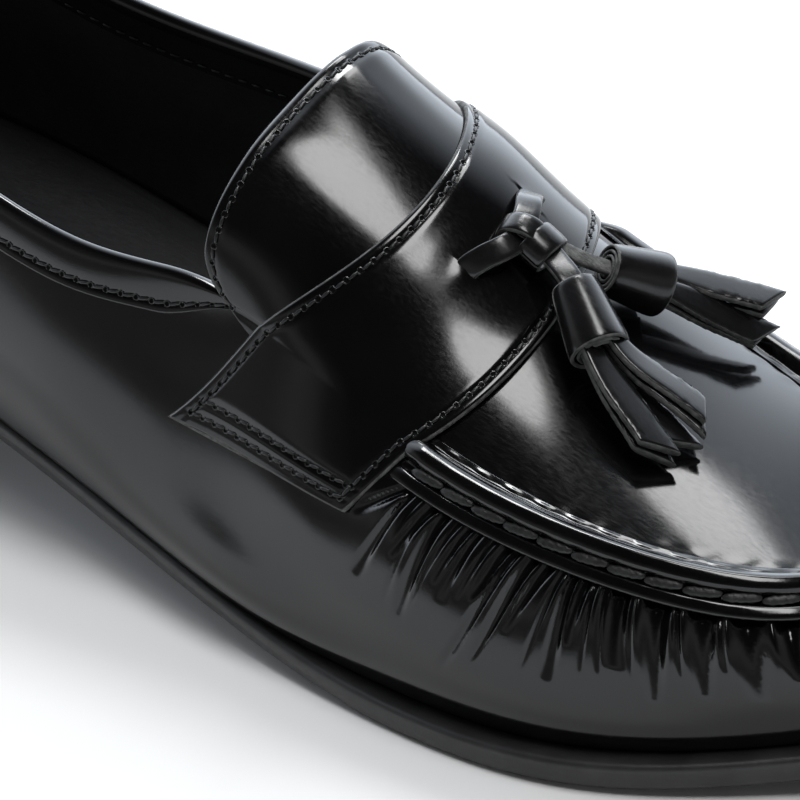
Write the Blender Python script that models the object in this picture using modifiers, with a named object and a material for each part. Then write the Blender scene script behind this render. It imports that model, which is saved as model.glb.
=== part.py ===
# Tassel loafer, right shoe, standing empty on its sole.
# Lengths are in millimetres from the back of the heel. The toe points to +X, the outer side to -Y.
import bpy
import bmesh
import numpy as np
from mathutils import Matrix, Vector

# Driving dimensions
MM = 0.001
MIDDLE = np.array([147.78, -0.18, 0.0])  # middle of the sole's outline, under which the origin lies
GAP = 0.3                # clearance between neighbouring pieces
UPPER_WALL = 2.0         # leather with its lining
SOLE_THICK = 4.8
SOLE_BULGE = 0.4         # the sole's edge is rounded out by this much
INSOLE_THICK = 2.5
INSOLE_INSET = 2.9       # from the feather line to the insole's edge
HEEL_BREAST = 2.8        # place along the wall rows where the heel block ends
HEEL_INSET = 0.8
HEEL_TAPER = 2.2
STRAP_THICK = 2.0
STRAP_REACH = (1.43, 1.31)      # how far the strap comes down its outer side, at its back and front edge
STRAP_INNER = 0.88       # share of that reach on the inner side
STRAP_BACK = (5.63, -0.18, -0.51, 0.02)   # back edge across the instep: middle, lean, bow and twist, in wall rows
STRAP_FRONT = (6.50, -0.30, -0.34, 0.10)
TONGUE_THICK = 2.0
TONGUE_REACH = 1.06
TONGUE_BACK = 4.84
TONGUE_CORNER = 0.42     # how far its rounded back corners run forward, in wall rows
TONGUE_FLARE = 1.0       # lift of its back edge off the instep
THROAT = 5.8             # the apron ends here, under the strap
THONG_WIDE = 4.5
THONG_THICK = 1.5
STRIP_WIDE = 4.0
STRIP_THICK = 1.3
WALL_HANDLE = 0.37       # fullness of the wall's curve
LOOP_STEP = 0.2          # sampling along the wall rows
WALL_STEPS = 9
PLUG_STEPS = 8
SOLE_STEPS = 6
SEAM_STEPS = 52
SEAM_START = 0.06        # from the strap to the end of the apron seam, in wall rows

# One row per section round the shoe: feather line point, topline or apron seam point, the wall's angle
# at its foot and at its top, the instep's lift and reach from there, and the sole's shelf outside the wall.
COLUMNS = ("foot_x", "foot_y", "foot_z", "top_x", "top_y", "top_z", "rise", "lean", "lift", "reach", "shelf")
WALL_ROWS = {
    "heel_back":       (7, 0, 25.5, 10, 0, 82.5, 70, 84, 70, 0.5, 2.5),
    "heel_corner_out": (16, -23, 25.5, 18, -20, 79.5, 76, 84, 70, 0.5, 2.5),
    "heel_side_out":   (43, -30.5, 24.5, 45, -27.5, 70.5, 82, 82, 70, 0.5, 2.5),
    "heel_breast_out": (79, -31.5, 22, 83, -28, 64, 80, 82, 72, 0.6, 1.6),
    "waist_out":       (117, -35, 15, 125, -29.5, 56.5, 70, 76, 71, 0.6, 0.4),
    "strap_out":       (159, -42, 8.8, 157, -26, 55.5, 60, 74, 80, 0.48, 0.5),
    "ball_out":        (193, -44, 5.0, 186.5, -28.5, 45, 62, 44, 41, 0.4, 2.2),
    "vamp_out":        (231, -40.5, 5.2, 218, -30, 38, 66, 46, 24, 0.38, 3.6),
    "toe_corner_out":  (264, -22.5, 7.3, 252.5, -21, 32.5, 72, 44, 16, 0.36, 3.4),
    "toe_tip":         (287.5, 4, 10.5, 266.5, 1, 29.5, 76, 28, 12, 0.36, 3.6),
    "toe_corner_in":   (270, 31, 7.4, 250, 24, 33, 72, 40, 16, 0.36, 3.6),
    "vamp_in":         (236, 42, 5.0, 220, 31, 38, 68, 46, 26, 0.38, 3.6),
    "ball_in":         (198, 41.5, 5.0, 189, 29, 50, 68, 52, 50, 0.41, 2.4),
    "strap_in":        (158, 32, 9.2, 156, 26.5, 61, 74, 74, 75, 0.51, 0.8),
    "waist_in":        (121, 27.5, 16, 119, 28.5, 61.5, 76, 80, 82, 0.64, 0.6),
    "heel_breast_in":  (80, 29, 22.5, 82, 27, 64, 82, 82, 72, 0.6, 1.6),
    "heel_side_in":    (42, 30, 24.5, 45, 27, 71.5, 84, 82, 70, 0.5, 2.5),
    "heel_corner_in":  (15, 23, 25.5, 18, 20, 79.5, 76, 84, 70, 0.5, 2.5),
}

# Apron seam's section, from the lip low on the wall over the stitch channel and the roll to the plug.
# Distance from the seam line, towards the plug when positive, and height off the leather.
SEAM_SECTION = {
    "lip_foot": (-5.4, 1.2),
    "lip_top": (-4.2, 1.8),
    "lip_inner": (-3.2, 1.6),
    "channel": (-2.2, 0.9),
    "roll_foot": (-1.0, 2.2),
    "roll_crest": (0.9, 3.2),
    "roll_inner": (3.0, 2.4),
    "plug_edge": (4.8, 0.8),
    "plug_under": (4.8, 0.35),
    "plug_side_under": (0.4, 0.45),
    "wall_side_under": (-0.4, 0.45),
    "lip_under": (-5.4, 0.35),
}

# Tassels: middle of the band's two ends, band radius, then the tip of each fringe strip with its turn
# round the band, counted from the top towards the outer side.
TASSELS = {
    "tassel_out": {
        "top": (207.2, 1.8, 61.0),
        "end": (215.7, -1.3, 54.3),
        "radius": 4.9,
        "strips": {40: (231, -7.1, 45.6), -25: (233, 1.8, 45.2), 105: (231, -11.4, 42.4),
                   -100: (233, -1.6, 42.6), 180: (231.5, -5.2, 42.6)},
    },
    "tassel_in": {
        "top": (206.0, 11.9, 59.0),
        "end": (213.6, 16.4, 53.9),
        "radius": 4.4,
        "strips": {30: (226, 31.5, 48), -40: (222.5, 34, 46), 100: (225, 27.5, 42.2),
                   180: (223, 30.5, 43)},
    },
}

# Tie thong: centre lines of its strands, and the two wraps of its knot with their shared axis.
STRANDS = {
    "from_outer_slit": ((191.2, -6.3, 64.1), (192.6, -2.6, 66.2), (194.2, 1.0, 66.8), (196.6, 4.0, 65.8)),
    "from_top_slit": ((190.4, 12.0, 67.5), (191.6, 9.0, 68.8), (193.4, 5.6, 68.0), (196.6, 4.0, 65.8)),
    "tail_out": ((196.6, 4.0, 65.8), (199.7, 5.2, 64.2), (203.4, 4.2, 63.2), (206.7, 2.0, 61.5)),
    "tail_in": ((196.6, 4.0, 65.8), (199.2, 6.4, 64.0), (202.2, 9.4, 62.0), (205.3, 11.5, 59.6)),
}
WRAP_CENTRES = ((195.7, 3.2, 66.4), (199.5, 5.6, 64.2))
WRAP_AXIS = (0.72, 0.46, -0.52)
WRAP_RADIUS = 2.5
WRAP_THICK = 1.3

LEATHER = (0.012, 0.012, 0.013)
FINISHES = {
    "upper": (LEATHER, 0.18),
    "apron_seam": (LEATHER, 0.18),
    "saddle_strap": (LEATHER, 0.18),
    "tongue": (LEATHER, 0.18),
    "tassel_tie": (LEATHER, 0.22),
    "tassel_out": (LEATHER, 0.22),
    "tassel_in": (LEATHER, 0.22),
    "insole": ((0.045, 0.045, 0.048), 0.55),
    "outsole": ((0.02, 0.02, 0.021), 0.4),
    "heel": ((0.02, 0.02, 0.021), 0.4),
}

TABLE = np.array(list(WALL_ROWS.values()), float)
COUNT = len(TABLE)
TOE = list(WALL_ROWS).index("toe_tip")
LOOP = np.arange(0, COUNT - 1e-6, LOOP_STEP)
HALF = len(LOOP) // 2
UP = np.array([0.0, 0.0, 1.0])


# Smooth closed curve through the wall rows
def bend_of(table):
    count = len(table)
    links = 4 * np.eye(count) + np.roll(np.eye(count), 1, 1) + np.roll(np.eye(count), -1, 1)
    return np.linalg.solve(links, 6 * (np.roll(table, 1, 0) - 2 * table + np.roll(table, -1, 0)))


BEND = bend_of(TABLE)


def row_at(place):
    place = np.asarray(place, float)
    low = np.floor(place).astype(int)
    after = (place - low)[..., None]
    before = 1 - after
    first = low % COUNT
    second = (low + 1) % COUNT
    curve = (before**3 - before) * BEND[first] + (after**3 - after) * BEND[second]
    return before * TABLE[first] + after * TABLE[second] + curve / 6


def column(place, name):
    index = COLUMNS.index(name)
    return row_at(place)[..., index:index + 1]


def foot_point(place):
    return row_at(place)[..., 0:3]


def top_point(place):
    return row_at(place)[..., 3:6]


# Level direction square to the feather line, away from the foot
def outward(place):
    step = 0.001
    along = foot_point(np.asarray(place) + step) - foot_point(np.asarray(place) - step)
    along = along / np.linalg.norm(along[..., :2], axis=-1, keepdims=True)
    return np.stack([along[..., 1], -along[..., 0], np.zeros_like(along[..., 0])], -1)


def bezier(first, second, third, fourth, part):
    part = np.asarray(part, float)[..., None]
    rest = 1 - part
    return rest**3 * first + 3 * rest**2 * part * second + 3 * rest * part**2 * third + part**3 * fourth


# Side of the upper, from the feather line at height 0 to the topline at height 1
def wall(place, height):
    foot = foot_point(place)
    top = top_point(place)
    out = outward(place)
    rise = np.radians(column(place, "rise"))
    lean = np.radians(column(place, "lean"))
    arm = WALL_HANDLE * np.linalg.norm(top - foot, axis=-1, keepdims=True)
    lower = foot + arm * (out * np.cos(rise) + UP * np.sin(rise))
    upper = top + arm * (out * np.cos(lean) - UP * np.sin(lean))
    return bezier(foot, lower, upper, top, height)


# Instep and apron, from the topline on one side to the row facing it on the other
def crown(place, across):
    place = np.asarray(place, float)
    facing = 2 * TOE - place
    near = top_point(place)
    far = top_point(facing)
    span = np.linalg.norm(far - near, axis=-1, keepdims=True)
    arms = []
    for spot, start in ((place, near), (facing, far)):
        lift = np.radians(column(spot, "lift"))
        rise = -outward(spot) * np.cos(lift) + UP * np.sin(lift)
        arms.append(start + column(spot, "reach") * span * rise)
    return bezier(near, arms[0], arms[1], far, across)


# Right over the instep: -1 to 1 crosses the crown, beyond that runs down the outer or the inner wall
def instep(place, across):
    place, across = np.broadcast_arrays(np.asarray(place, float), np.asarray(across, float))
    top = crown(place, np.clip((across + 1) / 2, 0, 1))
    outer = wall(place, np.clip(2 + across, 0, 1))
    inner = wall(2 * TOE - place, np.clip(2 - across, 0, 1))
    below = np.where((across < -1)[..., None], outer, inner)
    return np.where((np.abs(across) > 1)[..., None], below, top)


def over_instep(place, across, height):
    step = 0.02
    along = instep(place + step, across) - instep(place - step, across)
    aside = instep(place, across + step) - instep(place, across - step)
    normal = np.cross(along, aside)
    normal /= np.linalg.norm(normal, axis=-1, keepdims=True)
    return instep(place, across) + np.asarray(height)[..., None] * normal


def edge_line(shape, across):
    middle, lean, bow, twist = shape
    return middle + lean * across + bow * across**2 + twist * across**3


def ease(value):
    value = np.clip(value, 0, 1)
    return value * value * (3 - 2 * value)


# Points and faces of one piece
class Skin:
    def __init__(self):
        self.points = []
        self.faces = []

    def add(self, points):
        points = np.asarray(points, float)
        start = len(self.points)
        self.points.extend(points.reshape(-1, 3))
        return np.arange(start, len(self.points)).reshape(points.shape[:-1])

    def cover(self, grid):
        for row, following in zip(grid[:-1], grid[1:]):
            for a, b, c, d in zip(row[:-1], following[:-1], following[1:], row[1:]):
                corners = list(dict.fromkeys((int(a), int(b), int(c), int(d))))
                if len(corners) > 2:
                    self.faces.append(corners)

    # Level rows from one rim to the facing rim, closing to a point where the two rims meet
    def bridge(self, near, far, steps):
        part = np.linspace(0, 1, steps + 1)[1:-1, None]
        rows = []
        for start, end in zip(near, far):
            inner = [start] * (steps - 1)
            if start != end:
                inner = self.add(self.points[start] * (1 - part) + self.points[end] * part)
            rows.append([start, *inner, end])
        return np.array(rows)

    def make(self, name):
        mesh = bpy.data.meshes.new(name)
        mesh.from_pydata(((np.array(self.points) - MIDDLE) * MM).tolist(), [], self.faces)
        mesh.update()
        return bpy.data.objects.new(name, mesh)


def keep(piece, name=None):
    name = name or piece.name
    colour, roughness = FINISHES[name]
    finish = bpy.data.materials.new(name + "_finish")
    finish.use_nodes = True
    shader = finish.node_tree.nodes["Principled BSDF"]
    shader.inputs["Base Color"].default_value = (*colour, 1.0)
    shader.inputs["Roughness"].default_value = roughness
    shader.inputs["Metallic"].default_value = 0.0
    piece.data.materials.append(finish)
    shoe.objects.link(piece)


def thicken(piece, thickness, side):
    layer = piece.modifiers.new("thickness", "SOLIDIFY")
    layer.thickness = thickness * MM
    layer.offset = side
    layer.use_even_offset = True
    layer.use_quality_normals = True


def turn_out(piece):
    draft = bmesh.new()
    draft.from_mesh(piece.data)
    bmesh.ops.recalc_face_normals(draft, faces=draft.faces)
    draft.to_mesh(piece.data)
    draft.free()


def fuse(piece, tool):
    tools.objects.link(tool)
    tool.hide_render = True
    tool.display_type = "WIRE"
    join = piece.modifiers.new("fuse_" + tool.name, "BOOLEAN")
    join.operation = "UNION"
    join.solver = "EXACT"
    join.object = tool


# Closed plate under the foot, from rim sections that run from its bottom edge to its top edge
def plate(name, rim, steps):
    skin = Skin()
    ids = skin.add(rim)
    skin.cover(np.vstack([ids, ids[:1]]))
    places = np.arange(0, HALF + 1)
    facing = -places % len(rim)
    skin.cover(skin.bridge(ids[places, -1], ids[facing, -1], steps))
    skin.cover(skin.bridge(ids[places, 0], ids[facing, 0], steps)[:, ::-1])
    return skin.make(name)


# Flat leather strip along a path, with its face towards a given direction
def ribbon(name, path, face, widths, thickness):
    path = np.asarray(path, float)
    along = np.gradient(path, axis=0)
    side = np.cross(np.broadcast_to(face, path.shape), along)
    side /= np.linalg.norm(side, axis=1, keepdims=True)
    out = np.cross(along, side)
    out *= thickness / 2 / np.linalg.norm(out, axis=1, keepdims=True)
    side *= np.asarray(widths, float)[:, None] / 2
    skin = Skin()
    ids = skin.add(np.stack([path - side - out, path + side - out, path + side + out, path - side + out], 1))
    skin.cover(np.hstack([ids, ids[:, :1]]))
    skin.faces.append(ids[0, ::-1].tolist())
    skin.faces.append(ids[-1].tolist())
    piece = skin.make(name)
    turn_out(piece)
    return piece


def smooth_path(points, count):
    part = np.linspace(0, 1, count)
    return bezier(*[np.array(point, float) for point in points], part)


for old in list(bpy.data.objects):
    bpy.data.objects.remove(old)
shoe = bpy.data.collections.new("tassel_loafer")
tools = bpy.data.collections.new("tassel_loafer_tools")
bpy.context.scene.collection.children.link(shoe)
bpy.context.scene.collection.children.link(tools)

# Upper: walls all round and the apron plug, one skin open at the collar and underneath
skin = Skin()
ring = skin.add(wall(LOOP[:, None], np.linspace(0, 1, WALL_STEPS + 1)[None]))
skin.cover(np.vstack([ring, ring[:1]]))
plug_rows = []
for index in range(round(THROAT / LOOP_STEP), HALF):
    inner = skin.add(crown(LOOP[index], np.linspace(0, 1, PLUG_STEPS + 1)[1:-1]))
    plug_rows.append([ring[index, -1], *inner, ring[-index, -1]])
plug_rows.append([ring[HALF, -1]] * (PLUG_STEPS + 1))
skin.cover(np.array(plug_rows))
upper = skin.make("upper")
thicken(upper, UPPER_WALL, -1)
keep(upper)

# Outsole: the feather line carried out to the shelf, flat on the floor under the ball
out = outward(LOOP)
shelf = column(LOOP, "shelf")
seat = foot_point(LOOP) - UP * GAP
floor = np.maximum(seat[:, 2:3] - SOLE_THICK, 0) * UP + seat * (1, 1, 0)
rim = np.stack([
    floor + out * (shelf - 0.6),
    floor + out * (shelf + SOLE_BULGE) + UP * 0.9,
    seat + out * (shelf + SOLE_BULGE) - UP * 0.9,
    seat + out * shelf,
], 1)
keep(plate("outsole", rim, SOLE_STEPS))

# Insole: on the sole, inside the upper's wall
board = foot_point(LOOP) - out * INSOLE_INSET
keep(plate("insole", np.stack([board, board + UP * INSOLE_THICK], 1), SOLE_STEPS))

# Heel: block under the seat, flat at its breast and on the floor
heel_loop = np.arange(-HEEL_BREAST, HEEL_BREAST + 1e-6, LOOP_STEP)
heel_out = outward(heel_loop)
heel_shelf = column(heel_loop, "shelf")
heel_top = foot_point(heel_loop) - UP * (SOLE_THICK + 2 * GAP) + heel_out * (heel_shelf - HEEL_INSET)
heel_foot = (heel_top - heel_out * HEEL_TAPER) * (1, 1, 0)
skin = Skin()
ids = skin.add(np.stack([heel_foot, heel_top], 1))
skin.cover(ids)
back = len(heel_loop) // 2
top_rows = skin.bridge(ids[back:, 1], ids[back::-1, 1], SOLE_STEPS)
foot_rows = skin.bridge(ids[back:, 0], ids[back::-1, 0], SOLE_STEPS)
skin.cover(top_rows)
skin.cover(foot_rows[:, ::-1])
skin.cover(np.stack([foot_rows[-1], top_rows[-1]], 1))
heel = skin.make("heel")
turn_out(heel)
keep(heel)

# Tongue: over the collar's front ends, tucked under the strap, rounded at its back corners
across = np.linspace(-TONGUE_REACH, TONGUE_REACH, 29)
corner = np.clip((np.abs(across) - 0.62) / (TONGUE_REACH - 0.62), 0, 1)
back_edge = TONGUE_BACK + TONGUE_CORNER * (1 - np.sqrt(1 - 0.96 * corner**2))
front_edge = (edge_line(STRAP_BACK, across) + edge_line(STRAP_FRONT, across)) / 2
part = np.linspace(0, 1, 8)[:, None]
place = back_edge * (1 - part) + front_edge * part
lift = GAP + TONGUE_FLARE * (1 - part)**2 * ease((1 - np.abs(across)) / 0.5)
skin = Skin()
skin.cover(skin.add(over_instep(place, np.broadcast_to(across, place.shape), lift)))
tongue = skin.make("tongue")
thicken(tongue, TONGUE_THICK, 1)
keep(tongue)

# Saddle strap: across the instep over the tongue's front half, down both walls
part = np.linspace(0, 1, 7)[:, None]
reach = STRAP_REACH[0] * (1 - part) + STRAP_REACH[1] * part
across = np.linspace(-1, STRAP_INNER, 45) * reach
place = edge_line(STRAP_BACK, across) * (1 - part) + edge_line(STRAP_FRONT, across) * part
on_tongue = ease((1 - part) / 0.42) * ease((1.26 - np.abs(across)) / 0.15)
skin = Skin()
skin.cover(skin.add(over_instep(place, across, GAP + (TONGUE_THICK + GAP) * on_tongue)))
strap = skin.make("saddle_strap")
thicken(strap, STRAP_THICK, 1)
keep(strap)

# Apron seam: lip, stitch channel and roll along the seam line, from strap to strap round the toe
skin = Skin()
lines = []
for distance, height in SEAM_SECTION.values():
    side = 1 - distance / (30 if distance > 0 else 40)
    start = edge_line(STRAP_FRONT, -side) + SEAM_START
    finish = 2 * TOE - edge_line(STRAP_FRONT, side) - SEAM_START
    places = np.linspace(start, finish, SEAM_STEPS)
    slope = np.radians(column(places, "lift" if distance > 0 else "lean"))
    level = -outward(places)
    run = level * np.cos(slope) + UP * np.sin(slope)
    normal = UP * np.cos(slope) - level * np.sin(slope)
    lines.append(top_point(places) + run * distance + normal * height)
ids = skin.add(np.stack(lines, 1))
skin.cover(np.hstack([ids, ids[:, :1]]))
skin.faces.append(ids[0].tolist())
skin.faces.append(ids[-1, ::-1].tolist())
seam = skin.make("apron_seam")
turn_out(seam)
keep(seam)

# Tassels: a rolled band with the fringe strips fused into its end
for name, size in TASSELS.items():
    top = np.array(size["top"])
    end = np.array(size["end"])
    axis = (end - top) / np.linalg.norm(end - top)
    above = UP - axis * axis[2]
    above /= np.linalg.norm(above)
    aside = np.cross(axis, above)
    turn = Matrix((aside, above, axis)).transposed().to_4x4()
    turn.translation = Vector(((top + end) / 2 - MIDDLE) * MM)
    draft = bmesh.new()
    bmesh.ops.create_cone(draft, cap_ends=True, segments=18, radius1=size["radius"] * MM,
                          radius2=size["radius"] * MM, depth=np.linalg.norm(end - top) * MM, matrix=turn)
    band = bpy.data.meshes.new(name)
    draft.to_mesh(band)
    draft.free()
    tassel = bpy.data.objects.new(name, band)
    turn_out(tassel)
    for number, (angle, tip) in enumerate(size["strips"].items()):
        angle = np.radians(angle)
        face = above * np.cos(angle) + aside * np.sin(angle)
        root = end - axis * 3 + face * (size["radius"] - 2.1)
        tip = np.array(tip, float)
        path = smooth_path((root, root + axis * 7, tip * 0.6 + root * 0.4, tip), 6)
        widths = (STRIP_WIDE, STRIP_WIDE, STRIP_WIDE, STRIP_WIDE, STRIP_WIDE, 1.2)
        fuse(tassel, ribbon(f"{name}_strip_{number}", path, face, widths, STRIP_THICK))
    keep(tassel)

# Tie: the thong's strands and the two wraps of its knot in one solid
tie = None
for name, points in STRANDS.items():
    strand = ribbon(name, smooth_path(points, 8), (0.5, -0.15, 0.85), [THONG_WIDE] * 8, THONG_THICK)
    if tie is None:
        tie = strand
        tie.name = "tassel_tie"
    else:
        fuse(tie, strand)
spin = Vector((0, 0, 1)).rotation_difference(Vector(WRAP_AXIS)).to_matrix().to_4x4()
for number, centre in enumerate(WRAP_CENTRES):
    turns = np.linspace(0, 2 * np.pi, 14, endpoint=False)
    rounds = np.linspace(0, 2 * np.pi, 8, endpoint=False)
    radius = WRAP_RADIUS + WRAP_THICK * np.cos(rounds)
    ring = np.stack([np.cos(turns)[:, None] * radius, np.sin(turns)[:, None] * radius,
                     np.broadcast_to(1.5 * WRAP_THICK * np.sin(rounds), (14, 8))], -1)
    skin = Skin()
    ids = skin.add(ring @ np.array(spin.to_3x3()).T + np.array(centre))
    ids = np.vstack([ids, ids[:1]])
    skin.cover(np.hstack([ids, ids[:, :1]]))
    wrap = skin.make(f"wrap_{number}")
    turn_out(wrap)
    fuse(tie, wrap)
keep(tie, "tassel_tie")
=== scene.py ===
# Looks of the tassel loafer. Lengths are millimetres from the back of the heel; the toe points to +X and the
# outer side to -Y.
import bmesh
import bpy
import numpy as np
from mathutils import Matrix


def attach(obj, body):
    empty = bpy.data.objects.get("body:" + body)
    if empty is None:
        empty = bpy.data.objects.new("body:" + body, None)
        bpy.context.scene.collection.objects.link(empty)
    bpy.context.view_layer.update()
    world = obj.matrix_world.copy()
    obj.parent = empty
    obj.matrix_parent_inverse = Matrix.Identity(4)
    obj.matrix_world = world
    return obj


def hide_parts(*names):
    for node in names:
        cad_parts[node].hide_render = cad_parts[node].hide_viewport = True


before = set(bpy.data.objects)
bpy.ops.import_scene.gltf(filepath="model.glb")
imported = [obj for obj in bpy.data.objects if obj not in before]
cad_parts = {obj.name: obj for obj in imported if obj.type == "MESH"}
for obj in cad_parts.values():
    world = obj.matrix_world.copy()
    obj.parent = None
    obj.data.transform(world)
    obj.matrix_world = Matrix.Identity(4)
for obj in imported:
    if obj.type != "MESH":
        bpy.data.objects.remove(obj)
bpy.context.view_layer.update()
scene = bpy.context.scene
mm = 0.001
middle = np.array([147.78, -0.18, 0.0])  # the frame's origin lies under this point
up = np.array([0.0, 0.0, 1.0])

# The part's own wall rows: feather line point, topline or seam point, wall angle at foot and top,
# the instep's lift and reach from there, and the sole's shelf outside the wall.
wallRows = {
    "heelBack":      (7, 0, 25.5, 10, 0, 82.5, 70, 84, 70, 0.5, 2.5),
    "heelCornerOut": (16, -23, 25.5, 18, -20, 79.5, 76, 84, 70, 0.5, 2.5),
    "heelSideOut":   (43, -30.5, 24.5, 45, -27.5, 70.5, 82, 82, 70, 0.5, 2.5),
    "heelBreastOut": (79, -31.5, 22, 83, -28, 64, 80, 82, 72, 0.6, 1.6),
    "waistOut":      (117, -35, 15, 125, -29.5, 56.5, 70, 76, 71, 0.6, 0.4),
    "strapOut":      (159, -42, 8.8, 157, -26, 55.5, 60, 74, 80, 0.48, 0.5),
    "ballOut":       (193, -44, 5.0, 186.5, -28.5, 45, 62, 44, 41, 0.4, 2.2),
    "vampOut":       (231, -40.5, 5.2, 218, -30, 38, 66, 46, 24, 0.38, 3.6),
    "toeCornerOut":  (264, -22.5, 7.3, 252.5, -21, 32.5, 72, 44, 16, 0.36, 3.4),
    "toeTip":        (287.5, 4, 10.5, 266.5, 1, 29.5, 76, 28, 12, 0.36, 3.6),
    "toeCornerIn":   (270, 31, 7.4, 250, 24, 33, 72, 40, 16, 0.36, 3.6),
    "vampIn":        (236, 42, 5.0, 220, 31, 38, 68, 46, 26, 0.38, 3.6),
    "ballIn":        (198, 41.5, 5.0, 189, 29, 50, 68, 52, 50, 0.41, 2.4),
    "strapIn":       (158, 32, 9.2, 156, 26.5, 61, 74, 74, 75, 0.51, 0.8),
    "waistIn":       (121, 27.5, 16, 119, 28.5, 61.5, 76, 80, 82, 0.64, 0.6),
    "heelBreastIn":  (80, 29, 22.5, 82, 27, 64, 82, 82, 72, 0.6, 1.6),
    "heelSideIn":    (42, 30, 24.5, 45, 27, 71.5, 84, 82, 70, 0.5, 2.5),
    "heelCornerIn":  (15, 23, 25.5, 18, 20, 79.5, 76, 84, 70, 0.5, 2.5),
}
rowTable = np.array(list(wallRows.values()), float)
rowCount = len(rowTable)
toePlace = list(wallRows).index("toeTip")
wallHandle = 0.37  # share of the wall's height in each arm of its curve
wallSteps = 25
smallStep = 0.001  # of a place, for the feather line's direction


# Second slopes of the closed cubic spline through the rows: four times each plus its neighbours equals six
# times the rows' own bend.
def splineBend(table):
    links = 4 * np.eye(len(table)) + np.roll(np.eye(len(table)), 1, 1) + np.roll(np.eye(len(table)), -1, 1)
    return np.linalg.solve(links, 6 * (np.roll(table, 1, 0) - 2 * table + np.roll(table, -1, 0)))


rowBend = splineBend(rowTable)


# All row values at a place round the shoe: straight mix of two rows plus the cubic share of their bends.
def rowAt(place):
    place = np.asarray(place, float)
    low = np.floor(place).astype(int)
    after = (place - low)[..., None]
    before = 1 - after
    first, second = low % rowCount, (low + 1) % rowCount
    bent = (before**3 - before) * rowBend[first] + (after**3 - after) * rowBend[second]
    return before * rowTable[first] + after * rowTable[second] + bent / 6


# Feather line, where the wall meets the sole.
def footPoint(place):
    return rowAt(place)[..., 0:3]


# Topline round the collar, seam line round the apron.
def topPoint(place):
    return rowAt(place)[..., 3:6]


# Width of the sole outside the feather line.
def shelfAt(place):
    return rowAt(place)[..., 10:11]


# Each row of vectors at length one.
def unit(vectors):
    return vectors / np.linalg.norm(vectors, axis=-1, keepdims=True)


# Level direction square to the feather line, away from the foot.
def outward(place):
    along = footPoint(np.asarray(place) + smallStep) - footPoint(np.asarray(place) - smallStep)
    along = along * (1, 1, 0)
    return unit(np.stack([along[..., 1], -along[..., 0], along[..., 2]], -1))


# Cubic curve from the first to the fourth point, pulled towards the two between.
def bezier(first, second, third, fourth, part):
    part = np.asarray(part, float)[..., None]
    rest = 1 - part
    return rest**3 * first + 3 * rest**2 * part * second + 3 * rest * part**2 * third + part**3 * fourth


# Side of the upper: a cubic curve from the feather line (height 0) to the topline (height 1) at each place.
def wall(place, height):
    row = rowAt(place)
    foot, top, out = row[..., 0:3], row[..., 3:6], outward(place)
    rise, lean = np.radians(row[..., 6:7]), np.radians(row[..., 7:8])
    arm = wallHandle * np.linalg.norm(top - foot, axis=-1, keepdims=True)
    lower = foot + arm * (out * np.cos(rise) + up * np.sin(rise))
    upper = top + arm * (out * np.cos(lean) - up * np.sin(lean))
    return bezier(foot, lower, upper, top, height)


# Instep and apron: a cubic arch from the topline at a place to the facing place, across 0 to 1.
def crown(place, across):
    place = np.asarray(place, float)
    near, far = rowAt(place), rowAt(2 * toePlace - place)
    span = np.linalg.norm(far[..., 3:6] - near[..., 3:6], axis=-1, keepdims=True)

    def arm(row, out):
        lift = np.radians(row[..., 8:9])
        return row[..., 3:6] + row[..., 9:10] * span * (up * np.sin(lift) - out * np.cos(lift))

    farArm = arm(far, outward(2 * toePlace - place))
    return bezier(near[..., 3:6], arm(near, outward(place)), farArm, far[..., 3:6], across)


# Right over the instep: across -1 to 1 follows the arch, beyond that the outer or the inner wall downwards.
def instep(place, across):
    place, across = np.broadcast_arrays(np.asarray(place, float), np.asarray(across, float))
    arch = crown(place, np.clip((across + 1) / 2, 0, 1))
    outer = wall(place, np.clip(2 + across, 0, 1))
    inner = wall(2 * toePlace - place, np.clip(2 - across, 0, 1))
    return np.where((across < -1)[..., None], outer, np.where((across > 1)[..., None], inner, arch))


# Outward direction of a surface: cross product of one small step in each parameter.
def facing(surface, first, second, step=0.005):
    along = surface(first + step, second) - surface(first - step, second)
    aside = surface(first, second + step) - surface(first, second - step)
    return unit(np.cross(along, aside))


# Point at a distance square off the wall.
def offWall(place, height, out):
    return wall(place, height) + out[..., None] * facing(wall, place, height)


# Point at a height square off the instep.
def overInstep(place, across, height):
    place, across = np.broadcast_arrays(np.asarray(place, float), np.asarray(across, float))
    return instep(place, across) + np.asarray(height)[..., None] * facing(instep, place, across, 0.02)


# Smooth step from 0 to 1.
def ease(value):
    value = np.clip(value, 0, 1)
    return value * value * (3 - 2 * value)


# Bell of height 1 at zero, with the given half width.
def bell(distance, width):
    return np.exp(-(distance / width) ** 2)


# Smooth line through a few points: each stretch is a cubic whose slopes are half the step between its
# neighbours.
def smoothLine(points, count):
    points = np.asarray(points, float)
    padded = np.concatenate([2 * points[:1] - points[1:2], points, 2 * points[-1:] - points[-2:-1]])
    place = np.linspace(0, len(points) - 1, count)
    low = np.minimum(place.astype(int), len(points) - 2)
    part = (place - low)[:, None]
    a, b, c, d = (padded[low + k] for k in range(4))
    return b + 0.5 * part * (c - a + part * (2 * a - 5 * b + 4 * c - d + part * (3 * (b - c) + d - a)))


# Running length along a line of points.
def runLength(line):
    return np.concatenate([[0], np.cumsum(np.linalg.norm(np.diff(line, axis=0), axis=1))])


# Length of the wall from feather line to topline at each place.
def wallLength(place):
    line = wall(np.asarray(place, float)[..., None], np.linspace(0, 1, wallSteps))
    return np.linalg.norm(np.diff(line, axis=-2), axis=-1).sum(-1)


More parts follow.
